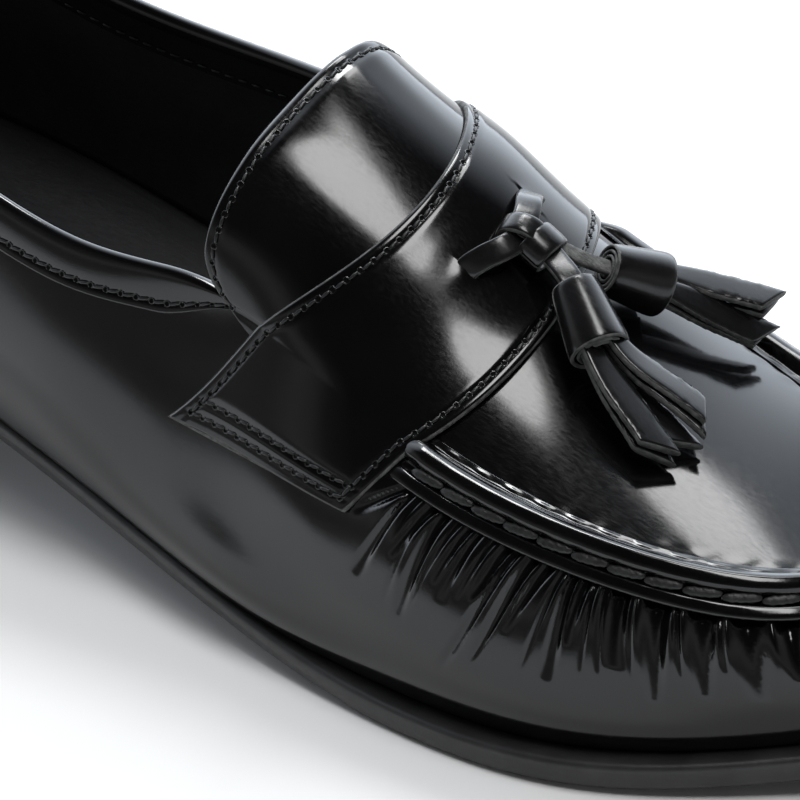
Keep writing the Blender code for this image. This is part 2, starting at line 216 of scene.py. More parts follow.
# Lengths along the apron seam, in millimetres from the strap's front edge on the outer side.
seamSpan = {"from": 5.0, "to": 13.0, "steps": 3201, "strapFront": 6.35}
seamPlaces = np.linspace(seamSpan["from"], seamSpan["to"], seamSpan["steps"])
seamRuns = runLength(topPoint(seamPlaces))
seamRuns -= np.interp(seamSpan["strapFront"], seamPlaces, seamRuns)


# Faces of a grid: each four neighbours make one, and a closed direction joins its last line to its first.
def gridFaces(rows, columns, closeRows=False, closeColumns=False):
    ids = np.arange(rows * columns).reshape(rows, columns)
    ids = np.vstack([ids, ids[:1]]) if closeRows else ids
    ids = np.hstack([ids, ids[:, :1]]) if closeColumns else ids
    return np.stack([ids[:-1, :-1], ids[1:, :-1], ids[1:, 1:], ids[:-1, 1:]], -1).reshape(-1, 4)


# A closed profile carried along a path: the grid's faces with a flat face at each end.
def capFaces(rows, columns):
    ids = np.arange(rows * columns).reshape(rows, columns)
    return gridFaces(rows, columns, closeColumns=True).tolist() + [ids[0, ::-1].tolist(), ids[-1].tolist()]


# Several grids in one mesh, given as points and faces: the faces of each count on from the points before it.
def joinGrids(grids):
    faces, start = [], 0
    for points, own in grids:
        faces += [[corner + start for corner in face] for face in own]
        start += points.size // 3
    return np.concatenate([points.reshape(-1, 3) for points, own in grids]), faces


weldWithin = 1e-6  # metres


# Piece from points in millimetres: welded where points meet, turned outwards, and put on the shoe.
def makePiece(name, points, faces, finishes, node, slot, kinds=None, marks=None):
    mesh = bpy.data.meshes.new(name)
    spots = (np.reshape(points, (-1, 3)) - middle) * mm
    mesh.from_pydata(spots.tolist(), [], [list(face) for face in faces])
    for title in finishes:
        mesh.materials.append(finish[title])
    if kinds is not None:
        mesh.polygons.foreach_set("material_index", np.asarray(kinds, np.int32))
    for title, values in (marks or {}).items():
        mark = mesh.attributes.new(title, "FLOAT", "POINT")
        mark.data.foreach_set("value", np.ravel(values).astype(np.float32))
    draft = bmesh.new()
    draft.from_mesh(mesh)
    bmesh.ops.remove_doubles(draft, verts=draft.verts, dist=weldWithin)
    bmesh.ops.recalc_face_normals(draft, faces=draft.faces)
    draft.to_mesh(mesh)
    draft.free()
    mesh.shade_smooth()
    piece = bpy.data.objects.new(name, mesh)
    scene.collection.objects.link(piece)
    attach(piece, "root")
    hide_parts(node)
    return piece


# Finishes

# A number is set in a socket, and another socket is linked to it.
def feed(tree, value, socket):
    if isinstance(value, (int, float)):
        socket.default_value = value
    else:
        tree.links.new(value, socket)


# Leather surface: fine grain, slow clouds and short brush streaks, from noise at three sizes.
grainLook = {
    "sockets": {"INPUT": {"Vector": "Vector", "Grain Scale": "Float", "Cloud Scale": "Float"},
                "OUTPUT": {"Height": "Float", "Clouds": "Float", "Streaks": "Float"}},
    "detail": {"Height": 3.0, "Clouds": 4.0, "Streaks": 2.0},
    "streakScale": (420.0, 2600.0, 1500.0), "streakTurn": (0.3, 0.2, 0.5),
}


def grainGroup():
    tree = bpy.data.node_groups.new("leatherGrain", "ShaderNodeTree")
    for way, sockets in grainLook["sockets"].items():
        for title, kind in sockets.items():
            tree.interface.new_socket(name=title, in_out=way, socket_type="NodeSocket" + kind)
    source = tree.nodes.new("NodeGroupInput")
    target = tree.nodes.new("NodeGroupOutput")
    squeeze = tree.nodes.new("ShaderNodeMapping")
    squeeze.inputs["Scale"].default_value = grainLook["streakScale"]
    squeeze.inputs["Rotation"].default_value = grainLook["streakTurn"]
    tree.links.new(source.outputs["Vector"], squeeze.inputs["Vector"])
    fine, slow = source.outputs["Grain Scale"], source.outputs["Cloud Scale"]
    for title, scale, spot in (("Height", fine, source), ("Clouds", slow, source), ("Streaks", 1.0, squeeze)):
        noise = tree.nodes.new("ShaderNodeTexNoise")
        noise.inputs["Detail"].default_value = grainLook["detail"][title]
        feed(tree, spot.outputs["Vector"], noise.inputs["Vector"])
        feed(tree, scale, noise.inputs["Scale"])
        feed(tree, noise.outputs["Fac"], target.inputs[title])
    return tree


leatherGrain = grainGroup()


# Value moved from one range to another.
def rangeNode(tree, source, low, high, fromLow, fromHigh):
    node = tree.nodes.new("ShaderNodeMapRange")
    for title, value in (("From Min", fromLow), ("From Max", fromHigh), ("To Min", low), ("To Max", high)):
        node.inputs[title].default_value = value
    tree.links.new(source, node.inputs["Value"])
    return node.outputs["Result"]


# One operation on two values.
def mathNode(tree, operation, first, second):
    node = tree.nodes.new("ShaderNodeMath")
    node.operation = operation
    for socket, value in zip(node.inputs, (first, second)):
        feed(tree, value, socket)
    return node.outputs["Value"]


noiseSpan = (0.3, 0.7)  # the part of the noise's range that is used
crackleLook = {"scale": 1400, "detail": 2}


# Material with a grained surface: colour between two tones by clouds, roughness between two by streaks, bump
# from grain, streaks and, where it is marked, crackle.
def leatherFinish(name, look):
    material = bpy.data.materials.new(name)
    material.use_nodes = True
    tree = material.node_tree
    shader = tree.nodes["Principled BSDF"]
    place = tree.nodes.new("ShaderNodeTexCoord")
    grain = tree.nodes.new("ShaderNodeGroup")
    grain.node_tree = leatherGrain
    grain.inputs["Grain Scale"].default_value = look["grain"]
    grain.inputs["Cloud Scale"].default_value = look["clouds"]
    tree.links.new(place.outputs["Object"], grain.inputs["Vector"])
    tones = tree.nodes.new("ShaderNodeValToRGB")
    for element, tone, spot in zip(tones.color_ramp.elements, look["tones"], noiseSpan):
        element.color, element.position = (*tone, 1), spot
    tree.links.new(grain.outputs["Clouds"], tones.inputs["Fac"])
    tree.links.new(tones.outputs["Color"], shader.inputs["Base Color"])
    rough = rangeNode(tree, grain.outputs["Streaks"], *look["rough"], *noiseSpan)
    brushed = mathNode(tree, "MULTIPLY", grain.outputs["Streaks"], look["streak"])
    height = mathNode(tree, "ADD", grain.outputs["Height"], brushed)
    if look.get("crease"):
        crease = tree.nodes.new("ShaderNodeAttribute")
        crease.attribute_name = "crease"
        crackle = tree.nodes.new("ShaderNodeTexNoise")
        crackle.inputs["Scale"].default_value = crackleLook["scale"]
        crackle.inputs["Detail"].default_value = crackleLook["detail"]
        tree.links.new(place.outputs["Object"], crackle.inputs["Vector"])
        cracked = mathNode(tree, "MULTIPLY", crackle.outputs["Fac"], crease.outputs["Fac"])
        height = mathNode(tree, "ADD", height, mathNode(tree, "MULTIPLY", cracked, look["crease"]))
    tree.links.new(rough, shader.inputs["Roughness"])
    bump = tree.nodes.new("ShaderNodeBump")
    bump.inputs["Distance"].default_value = look["depth"] * mm
    tree.links.new(height, bump.inputs["Height"])
    tree.links.new(bump.outputs["Normal"], shader.inputs["Normal"])
    shader.inputs["IOR"].default_value = look.get("ior", 1.5)
    return material


finishLooks = {  # grain and clouds are counts in a metre, depth is the bump in millimetres
    "polishedLeather": {"grain": 2200, "clouds": 60, "rough": (0.09, 0.15), "streak": 0.5, "depth": 0.0022,
                        "tones": ((0.0014, 0.0014, 0.0016), (0.003, 0.003, 0.0034)), "crease": 30},
    "thongLeather": {"grain": 1800, "clouds": 90, "tones": ((0.003, 0.003, 0.0033), (0.007, 0.007, 0.0075)),
                     "rough": (0.18, 0.27), "streak": 0.8, "depth": 0.006},
    "rawEdge": {"grain": 2600, "clouds": 700, "tones": ((0.03, 0.03, 0.03), (0.125, 0.126, 0.122)),
                "rough": (0.65, 0.9), "streak": 1.2, "depth": 0.12},
    "liningLeather": {"grain": 1500, "clouds": 120, "tones": ((0.013, 0.013, 0.0142), (0.022, 0.022, 0.024)),
                      "rough": (0.5, 0.65), "streak": 0.4, "depth": 0.02},
    "insoleLeather": {"grain": 1700, "clouds": 40, "rough": (0.45, 0.6), "streak": 0.5, "depth": 0.015,
                      "tones": ((0.006, 0.0063, 0.0072), (0.009, 0.0093, 0.0105))},
    "soleEdge": {"grain": 1300, "clouds": 150, "tones": ((0.016, 0.016, 0.0165), (0.032, 0.032, 0.033)),
                 "rough": (0.32, 0.45), "streak": 1.5, "depth": 0.02},
    "waxedThread": {"grain": 3200, "clouds": 900, "tones": ((0.003, 0.003, 0.0032), (0.012, 0.012, 0.0125)),
                    "rough": (0.3, 0.5), "streak": 0.8, "depth": 0.03},
    "linenThread": {"grain": 3200, "clouds": 900, "tones": ((0.004, 0.004, 0.004), (0.02, 0.02, 0.0195)),
                    "rough": (0.38, 0.55), "streak": 0.8, "depth": 0.08},
    # Painted shade of the needle holes: near black, matte and with a low IOR so that it hardly reflects,
    # standing in for the dark inside a real hole.
    "needleHoleShade": {"grain": 2000, "clouds": 300, "tones": ((0.001, 0.001, 0.001), (0.002, 0.002, 0.002)),
                   "rough": (0.8, 0.95), "streak": 0.5, "depth": 0.02, "ior": 1.2},
}
finish = {name: leatherFinish(name, look) for name, look in finishLooks.items()}
print("finishes:", ", ".join(finish))

# Pleats of the gathered vamp, by the length along the seam (run) and the drop below it: run at the lip, run
# and drop of the lower end, half width at the lip and at the end, depth, and how crackled it is inside.
pleats = {
    "strapCorner": (2.6, -7, 13.5, 1.3, 1.2, 1.19, 0),
    "first": (3.8, -6.6, 23.2, 0.6, 1.3, 1.36, 0),
    "hair": (5.6, 1.5, 13.2, 0.4, 0.35, 0.51, 0),
    "second": (8, 1.2, 15.9, 1.4, 0.7, 1.36, 0),
    "faint": (7.8, -1.2, 24.3, 0.5, 0.5, 0.51, 0.4),
    "third": (10.3, 1.1, 25.5, 1.3, 1, 1.53, 0.2),
    "thirdEdge": (13.4, 2.8, 23.8, 0.5, 0.45, 0.68, 0),
    "fourth": (15.2, 9, 16, 0.85, 0.6, 1.02, 0),
    "fifth": (17, 9.8, 18.2, 0.7, 1.1, 1.19, 0.3),
    "fifthEdge": (19.8, 12.9, 16.6, 0.6, 0.5, 0.77, 0),
    "sixth": (22, 15.8, 15.6, 1.4, 0.9, 1.53, 0),
    "longest": (23.9, 6.3, 32.1, 0.9, 0.6, 1.19, 1),
    "seventh": (26.6, 12.6, 27, 1.4, 0.45, 1.53, 0),
    "eighth": (29.4, 20, 18.4, 1.3, 0.7, 1.36, 0),
    "eighthEdge": (32, 21.2, 23.9, 0.6, 0.45, 0.85, 0),
    "ninth": (33.6, 24.7, 24.6, 1.1, 1.25, 1.53, 0),
    "tenth": (35.8, 30, 16.6, 1.3, 0.9, 1.36, 0.9),
    "tenthEdge": (37.4, 31, 20.7, 0.55, 0.45, 0.85, 0),
    "eleventhEdge": (39.1, 34, 19.9, 0.7, 0.55, 0.94, 0),
    "eleventh": (41.4, 37.1, 17.9, 2.1, 1.9, 1.87, 0.6),
    "twelfthEdge": (43.6, 39.3, 19.1, 0.5, 0.4, 0.68, 0),
    "twelfth": (47.4, 41.6, 22.7, 2.5, 1.2, 2.04, 0.8),
    "thirteenthEdge": (50.6, 47.5, 16.7, 0.6, 0.45, 0.85, 0),
    "thirteenth": (54.6, 49.8, 19.8, 2.8, 1.2, 2.04, 1),
    "fourteenthEdge": (57.3, 54.6, 14.4, 0.6, 0.5, 0.85, 0),
    "fourteenth": (61.3, 57.5, 19.3, 3.1, 1.7, 2.04, 1),
    "fifteenth": (67.2, 64.6, 15.4, 2.4, 1.5, 1.87, 0.6),
}
pleatForm = {"lip": 4.5, "spread": 1.35, "crackAside": 0.2, "crackWide": 0.5}  # lip: drop where they come out
unseenPleats = {  # the toe and the inner side carry on at the same pitch, with values drawn between two ends
    "from": 73.8, "to": 172, "pitch": 6.6, "shift": (-0.7, 0.7), "drop": (12, 18), "lipHalf": (1.8, 2.7),
    "endHalf": (1.0, 1.7), "depth": (1.2, 1.9), "crackle": (0.0, 0.8),
    "leanFrom": 88, "leanOver": 70, "leastLean": -0.1, "leanRun": 7, "leanDrop": 6,
}
chance = np.random.default_rng(7)


# The pleats above and then the unseen ones, whose lean grows straight with their run between two limits.
def allPleats():
    run = np.arange(unseenPleats["from"], unseenPleats["to"], unseenPleats["pitch"])

    def draw(key):
        return chance.uniform(*unseenPleats[key], len(run))

    run = run + draw("shift")
    lean = np.clip((run - unseenPleats["leanFrom"]) / unseenPleats["leanOver"], unseenPleats["leastLean"], 1)
    endDrop = draw("drop") + unseenPleats["leanDrop"] * np.clip(lean, 0, 1)
    drawn = [draw(key) for key in ("lipHalf", "endHalf", "depth", "crackle")]
    unseen = np.stack([run, run + unseenPleats["leanRun"] * lean, endDrop, *drawn], 1)
    return np.concatenate([np.array(list(pleats.values()), float), unseen])


pleatTable = allPleats()


# Relief of the gathered vamp: each pleat is a bowl-shaped trough along a leaning line, one minus the squared
# distance, squared. Its depth falls by a square to nothing at the lower end. Where pleats meet the deeper one
# counts, which leaves a ridge between them.
def pleatRelief(run, drop):
    deep = np.zeros(np.broadcast(run, drop).shape)
    crackle = np.zeros_like(deep)
    for lipRun, endRun, endDrop, lipHalf, endHalf, depth, cracked in pleatTable:
        part = np.clip((drop - pleatForm["lip"]) / (endDrop - pleatForm["lip"]), 0, 1)
        aside = run - lipRun - (endRun - lipRun) * part
        reach = pleatForm["spread"] * (lipHalf + (endHalf - lipHalf) * part)
        fade = 1 - part**2
        bowl = np.clip(1 - (aside / reach) ** 2, 0, 1) ** 2
        deep = np.maximum(deep, depth * fade * bowl)
        cracks = bell(aside - pleatForm["crackAside"] * reach, pleatForm["crackWide"] * reach)
        crackle = np.maximum(crackle, cracked * fade * cracks)
    return -deep, crackle


# Place counted from the heel's back, the same on both sides.
def fromHeel(place):
    return np.minimum(place % rowCount, -place % rowCount)


# Swell of the quarters: rises from the rim by one minus a square, and dies away below as a bell.
swell = {"height": 2.4, "drop": 20.0, "below": 15.0, "from": 4.0, "to": 4.9, "heelShare": 0.4,
         "heelFrom": 1.0, "heelOver": 1.5}


def quarterSwell(place, drop):
    side = fromHeel(place)
    rise = 1 - (1 - np.maximum(drop, 0) / swell["drop"]) ** 2
    rise = np.where(drop < swell["drop"], rise, bell(drop - swell["drop"], swell["below"]))
    share = 1 - ease((side - swell["from"]) / (swell["to"] - swell["from"]))
    atHeel = (1 - swell["heelShare"]) * ease((side - swell["heelFrom"]) / swell["heelOver"])
    return swell["height"] * rise * share * (swell["heelShare"] + atHeel)


# Hollow of the wall below the strap's ends: a bell round the shoe times a bell down the wall.
hollow = {"depth": 3.1, "place": 5.3, "wide": 1.1, "drop": 33.5, "tall": 13.0}


def wallHollow(place, drop):
    around = bell(fromHeel(place) - hollow["place"], hollow["wide"])
    return -hollow["depth"] * around * bell(drop - hollow["drop"], hollow["tall"])


# Bulge of the gathered vamp: a smooth step up under the lip and a longer one down again, round the toe.
gather = {"height": 1.7, "rise": 9.0, "hold": 9.0, "fall": 17.0, "from": 5.85, "full": 6.5}


def gatherBulge(place, drop):
    side = fromHeel(place)
    bulge = ease(drop / gather["rise"]) * (1 - ease((drop - gather["hold"]) / gather["fall"]))
    return gather["height"] * bulge * ease((side - gather["from"]) / (gather["full"] - gather["from"]))


# Upper: one closed shell, the wall moved by its pleats, bulge, swell and hollow, then the inside back down.
upperShape = {"thick": 1.5, "rows": 70, "insideRows": 7, "gatheredFrom": 5.45, "gatheredTo": 12.55,
              "stretches": ((0, 5.3, 150), (5.3, 12.7, 880), (12.7, 18, 150))}  # from place, to place, steps
loopPlaces = np.concatenate([np.linspace(*stretch, endpoint=False) for stretch in upperShape["stretches"]])


def upperShell():
    rows, inside = upperShape["rows"], upperShape["insideRows"]
    height = np.concatenate([np.linspace(0, 1, rows), np.linspace(1, 0, inside)])
    outside = (np.arange(len(height)) < rows).astype(float)
    place, height = np.broadcast_arrays(loopPlaces[:, None], height)
    drop = (1 - height) * wallLength(loopPlaces)[:, None]
    relief, crackle = pleatRelief(np.interp(place, seamPlaces, seamRuns), drop)
    gathered = ((place > upperShape["gatheredFrom"]) & (place < upperShape["gatheredTo"])) * outside
    offset = relief * gathered + quarterSwell(place, drop) * outside - upperShape["thick"] * (1 - outside)
    offset = offset + gatherBulge(place, drop) * outside + wallHollow(place, drop)
    faces = gridFaces(*place.shape, closeRows=True, closeColumns=True)
    makePiece("vamp_and_quarters", offWall(place, height, offset), faces, ["polishedLeather"], "upper",
              "upper_leather", marks={"crease": crackle * gathered})


upperShell()

# Lining: a closed shell at two even distances inside the wall, with its hollow.
liningShape = {"inset": 1.75, "thick": 0.5, "rows": 18, "steps": 220, "bottom": 0.03, "top": 0.985}


def liningShell():
    rows = liningShape["rows"]
    height = np.linspace(liningShape["bottom"], liningShape["top"], rows)
    loop = np.linspace(0, rowCount, liningShape["steps"], endpoint=False)[:, None]
    place, height = np.broadcast_arrays(loop, np.concatenate([height, height[::-1]]))
    inset = liningShape["inset"] + liningShape["thick"] * (np.arange(2 * rows) >= rows)
    offset = wallHollow(place, (1 - height) * wallLength(place[:, 0])[:, None]) - inset
    faces = gridFaces(*place.shape, closeRows=True, closeColumns=True)
    makePiece("lining", offWall(place, height, offset), faces, ["liningLeather"], "upper", "upper_leather")


liningShell()

# Collar binding: a folded strip carried round the collar, from its sewn outside edge over the rim and down
# inside.
bindingShape = {
    "section": (  # drop below the topline and distance out from the wall
        (6.3, 0.05), (6.35, 0.4), (6.05, 0.6), (5.4, 0.5), (4.7, 0.28), (4.0, 0.5), (2.9, 0.72), (1.5, 0.85),
        (0.2, 0.78), (-0.75, 0.25), (-1.1, -0.7), (-0.75, -1.7), (0.2, -2.4), (1.8, -2.75), (4.2, -2.75),
        (5.6, -2.6), (6.6, -2.7), (7.0, -2.5), (7.0, -2.0), (3.0, -2.0)),
    "stitches": {"outside": (4.7, 0.3, 0.2), "inside": (5.6, -2.62, -0.2)},  # drop, distance out, step off
    "end": 5.35, "steps": 420, "around": 68, "stitchEnd": 5.0, "narrowFrom": 4.55, "narrowOver": 0.6,
    "narrowBy": 0.8, "swellFrom": -1.2, "swellOver": 1.5,
}


# Share of the binding's depth: whole round the collar, narrowing where its ends run in under the tongue.
def bindingDepth(place):
    ends = ease((np.abs(place) - bindingShape["narrowFrom"]) / bindingShape["narrowOver"])
    return 1 - bindingShape["narrowBy"] * ends


# Point of the binding: wall point at a drop, moved out, together with the swell on the outer side only.
def bindingPoint(place, drop, out):
    place, drop, out = np.broadcast_arrays(place, drop * bindingDepth(place), out)
    height = 1 - drop / wallLength(place)
    outside = ease((out - bindingShape["swellFrom"]) / bindingShape["swellOver"])
    return offWall(place, height, out + quarterSwell(place, drop) * outside)


def collarBinding():
    place = np.linspace(-bindingShape["end"], bindingShape["end"], bindingShape["steps"])[:, None]
    section = smoothLine(bindingShape["section"], bindingShape["around"])
    points = bindingPoint(place, section[:, 0], section[:, 1])
    makePiece("collar_binding", points, capFaces(*points.shape[:2]), ["polishedLeather"],
              "upper", "upper_leather")


collarBinding()

# Apron plug: the arch of the crown from under the strap to the toe, dimpled along its sewn edge.
plugShape = {"from": 5.75, "rows": 260, "columns": 150, "even": 0.35, "thick": 1.4, "pitch": 6.3,
             "dimple": 0.08, "dimpleAt": 5.0, "dimpleWide": 1.1, "dimpleBase": 0.35}


def apronPlug():
    place = np.linspace(plugShape["from"], toePlace, plugShape["rows"])[:, None]
    even = np.linspace(0, 1, plugShape["columns"])
    crowded = (1 - np.cos(np.pi * even)) / 2  # closer columns beside the seam
    place, across = np.broadcast_arrays(place, plugShape["even"] * even + (1 - plugShape["even"]) * crowded)
    points = crown(place, across)
    near = np.where(across < 0.5, place, 2 * toePlace - place)
    fromSeam = np.linalg.norm(points - topPoint(near), axis=-1)
    pinch = 0.5 - 0.5 * np.cos(2 * np.pi * np.interp(near, seamPlaces, seamRuns) / plugShape["pitch"])
    beside = bell(fromSeam - plugShape["dimpleAt"], plugShape["dimpleWide"])
    relief = plugShape["dimple"] * beside * (pinch - plugShape["dimpleBase"])
    plug = makePiece("apron_plug", points + relief[..., None] * up, gridFaces(*place.shape),
                     ["polishedLeather"], "upper", "upper_leather")
    thicken = plug.modifiers.new("thickness", "SOLIDIFY")
    thicken.thickness = plugShape["thick"] * mm
    thicken.offset = -1


apronPlug()
print("upper, lining, binding and plug made")

# Apron seam: lip on the wall, stitch channel and roll, carried along the seam. It sinks at both ends, under
# the strap.
seamShape = {
    "section": (  # distance from the seam line, towards the plug when positive, and height off the leather
        (-5.0, 0.2), (-5.05, 0.95), (-4.85, 1.3), (-4.4, 1.45), (-3.7, 1.45), (-3.1, 1.38), (-2.7, 1.1),
        (-2.45, 0.65), (-1.75, 0.5), (-1.2, 0.65), (-1.0, 1.2), (-0.7, 1.75), (-0.2, 2.25), (0.45, 2.55),
        (1.05, 2.52), (1.7, 2.25), (2.25, 1.9), (2.65, 1.4), (2.95, 0.85), (3.2, 0.42), (3.6, 0.22),
        (4.2, 0.14), (4.8, 0.04)),
    "under": ((3.0, 0.0), (0.2, 0.2), (-0.2, 0.2), (-3.0, 0.1)),
    "from": -4.6, "to": 183.5, "rise": 8.5, "endShare": 0.12, "pitch": 6.3, "steps": 1300, "around": 64,
    "firstHole": 2.5, "thread": -1.7, "threadHeight": 0.95, "puckerShift": -1.4, "puckerPower": 1.2,
    "waves": {"roll": (0.02, 1.3, 1.6), "pucker": (0.16, 3.9, 0.45), "hole": (-0.35, -1.5, 0.8),
              "lip": (0.05, -3.8, 1.0)},  # height, distance from the seam line and half width
}


# Frame on the seam: line point, direction towards the plug and its normal, on the plug's or the wall's slope.
def seamFrame(place, plugSide):
    row = rowAt(place)
    slope = np.radians(np.where(plugSide, row[..., 8], row[..., 7]))[..., None]
    level = -outward(place)
    towards = level * np.cos(slope) + up * np.sin(slope)
    return row[..., 3:6], towards, up * np.cos(slope) - level * np.sin(slope)


# Seam line point plus the distance along that direction plus the height along the normal.
def seamPoint(run, distance, height):
    run, distance, height = np.broadcast_arrays(run, distance, height)
    line, towards, normal = seamFrame(np.interp(run, seamRuns, seamPlaces), distance > 0)
    return line + towards * distance[..., None] + normal * height[..., None]


# Share of the seam's height: smooth steps up from one end and down to the other.
def seamRise(run):
    fromEnds = run - seamShape["from"], seamShape["to"] - run
    return ease(fromEnds[0] / seamShape["rise"]) * ease(fromEnds[1] / seamShape["rise"])


# Section plus a wave for each of its parts: a bell across times the beat of the needle holes along.
def apronSeam():
    run = np.linspace(seamShape["from"], seamShape["to"], seamShape["steps"])[:, None]
    section = np.concatenate([smoothLine(seamShape["section"], seamShape["around"]), seamShape["under"]])
    distance, height = section[:, 0], section[:, 1]
    turn = 2 * np.pi * (run - seamShape["firstHole"]) / seamShape["pitch"]
    later = 2 * np.pi * seamShape["puckerShift"] / seamShape["pitch"]
    beat = 0.5 + 0.5 * np.cos(turn)  # 1 at each needle hole
    pucker = (0.5 + 0.5 * np.cos(turn - later)) ** seamShape["puckerPower"]
    beats = {"roll": 0.5 - beat, "pucker": pucker, "hole": beat**3, "lip": 0.5 - beat}
    for part, (high, at, half) in seamShape["waves"].items():
        height = height + high * beats[part] * bell(distance - at, half)
    rise = seamShape["endShare"] + (1 - seamShape["endShare"]) * seamRise(run)
    points = seamPoint(run, distance, height * rise)
    makePiece("apron_seam_roll", points, capFaces(*points.shape[:2]), ["polishedLeather"],
              "apron_seam", "upper_leather")


apronSeam()

# Needle hole: a low ring turned from this profile of radius and height, polished outside and painted shade
# within: its middle gets a near-black, matte, barely reflecting finish in place of the hole's depth.
holeShape = {"profile": ((0.80, -0.2), (0.72, 0.05), (0.58, 0.19), (0.45, 0.16), (0.35, 0.07), (0.28, 0.04)),
             "around": 8, "polished": 3}


# Values along a line at given lengths.
def alongLine(spot, run, values):
    return np.stack([np.interp(spot, run, values[:, axis]) for axis in range(3)], -1)


stitchForm = {"endShare": 0.3, "holeStep": 0.05}  # least thickness at the ends, step for a hole's direction


# Row of stitches: capsules at equal steps along a line, their thickness the root of one minus a fourth power,
# bowed off the leather, their two plies a double wave round the section that turns along it. Needle holes
# stand between them where asked.
def stitchRow(name, line, normal, size, node):
    run = runLength(line)
    count = max(int(round(run[-1] / size["pitch"])), 1)
    step = run[-1] / count
    along = np.linspace(-1, 1, size["along"])
    turn = np.linspace(0, 2 * np.pi, size["around"], endpoint=False)
    spot = (np.arange(count)[:, None] + 0.5) * step + along * size["long"] / 2
    centre = alongLine(spot, run, line)
    out = unit(alongLine(spot, run, normal))
    aside = unit(np.cross(out, np.gradient(centre, axis=1)))
    body = np.maximum(np.sqrt(1 - along**4), stitchForm["endShare"])[:, None]
    radius = size["radius"] * body * (1 + size["ply"] * np.cos(2 * turn - size["twist"] * along[:, None]))
    bow = size["lift"] + size["bow"] * (1 - along**2)
    centre = centre + out * bow[:, None] + aside * (size["slant"] * along)[:, None]
    ring = centre[:, :, None] + aside[:, :, None] * (radius * np.cos(turn))[..., None]
    ring = ring + out[:, :, None] * (size["flat"] * radius * np.sin(turn))[..., None]
    shapes = [(ring, np.zeros(len(along) - 1))]
    if size["holes"]:
        profile = np.array(holeShape["profile"])
        turn = np.linspace(0, 2 * np.pi, holeShape["around"], endpoint=False)
        spot = np.arange(count + 1) * step
        centre, out = alongLine(spot, run, line), unit(alongLine(spot, run, normal))
        ahead = alongLine(spot + stitchForm["holeStep"], run, line)
        first = unit(np.cross(out, ahead - alongLine(spot - stitchForm["holeStep"], run, line)))
        second = np.cross(out, first)
        radial = first[:, None] * np.cos(turn)[:, None] + second[:, None] * np.sin(turn)[:, None]
        ring = centre[:, None, None] + radial[:, None] * profile[:, 0, None, None]
        ring = ring + (out[:, None] * profile[:, 1, None])[:, :, None]
        shapes.append((ring, np.where(np.arange(len(profile) - 1) < holeShape["polished"], 1, 2)))
    grids, kinds = [], []
    for rings, bands in shapes:
        many, rows, columns = rings.shape[:3]
        own = capFaces(rows, columns)
        grids += [(points, own) for points in rings]
        kinds.append(np.tile(np.concatenate([np.repeat(bands, columns), [bands[0], bands[-1]]]), many))
    points, faces = joinGrids(grids)
    # The third finish paints the shade inside the needle holes.
    finishes = [size["thread"], "polishedLeather", "needleHoleShade"]
    return makePiece(name, points, faces, finishes, node, "upper_leather", kinds=np.concatenate(kinds))


apronThread = {"pitch": 6.3, "long": 6.3, "radius": 0.82, "flat": 0.5, "lift": 0.1, "bow": 0.15,
               "slant": 0.25, "ply": 0.07, "twist": 14, "along": 26, "around": 12, "holes": False,
               "count": 27, "thread": "linenThread"}
lineSteps = {"apron": 800, "strap": 700, "strapEnd": 200, "tongue": 600, "collar": 1600}  # along stitch rows


def apronStitches():
    long = apronThread["count"] * apronThread["pitch"]
    run = np.linspace(0, long, lineSteps["apron"]) + seamShape["firstHole"]
    line = seamPoint(run, seamShape["thread"], seamShape["threadHeight"] * seamRise(run))
    normal = seamFrame(np.interp(run, seamRuns, seamPlaces), np.full(len(run), False))[2]
    stitchRow("apron_stitches", line, normal, apronThread, "apron_seam")


apronStitches()

# Saddle strap: across the instep and down both walls, a rounded oblong section carried across, pressed down
# along its stitches and raised beside the thong's two slits.
strapShape = {"thick": 1.5, "back": (5.63, -0.18, -0.51, 0.02), "front": (6.50, -0.30, -0.34, 0.10),
              "reach": (1.43, 1.31), "inner": 0.88, "gap": 0.25, "wide": 33.0, "long": 62.0, "margin": 2.1,
              "groove": 0.35, "endRows": (2.1, 4.5), "endGroove": 0.3, "steps": 320, "around": 80,
              "overTongue": 1.9, "tonguePart": 0.8, "tongueReach": 1.4, "tongueFade": 0.5,
              "wallFrom": 0.9, "wallOver": 0.2}
strapThread = {"pitch": 2.7, "long": 2.1, "radius": 0.3, "flat": 0.9, "lift": 0.02, "bow": 0.12, "slant": 0.1,
               "ply": 0.14, "twist": 5, "along": 8, "around": 6, "holes": True, "thread": "waxedThread"}
slits = {  # two ends on the leather, height of the raised lip, and the side it lies on: -1 outer, 1 inner
    "outer": {"from": (188.7, -5.2, 62.2), "to": (192.1, -5.0, 60.1), "lip": 0.5, "side": -1},
    "top": {"from": (185.9, 12.9, 66.0), "to": (190.8, 13.0, 63.0), "lip": 0.35, "side": 1},
}
slitForm = {"lipFade": 1.4, "dent": 0.12, "dentFade": 1.0, "share": 0.45}


# Line across the instep: middle plus lean times across plus bow times its square plus twist times its cube.
def edgeLine(shape, across):
    return shape[0] + shape[1] * across + shape[2] * across**2 + shape[3] * across**3


# Strap surface: part runs from its back edge 0 to its front edge 1, aside from -1 to the inner share of 1.
def strapPoint(part, aside, height):
    part, aside, height = np.broadcast_arrays(part, aside, height)
    across = aside * (strapShape["reach"][0] * (1 - part) + strapShape["reach"][1] * part)
    place = edgeLine(strapShape["back"], across) * (1 - part) + edgeLine(strapShape["front"], across) * part
    width = np.abs(across)
    onTongue = ease((1 - part) / strapShape["tonguePart"])
    onTongue = onTongue * ease((strapShape["tongueReach"] - width) / strapShape["tongueFade"])
    side = np.where(across < 0, place, 2 * toePlace - place)
    onWall = wallHollow(side, np.maximum(width - 1, 0) * wallLength(side))
    onWall = onWall * ease((width - strapShape["wallFrom"]) / strapShape["wallOver"])
    rest = strapShape["gap"] + strapShape["overTongue"] * onTongue + onWall
    return overInstep(place, across, rest + height)


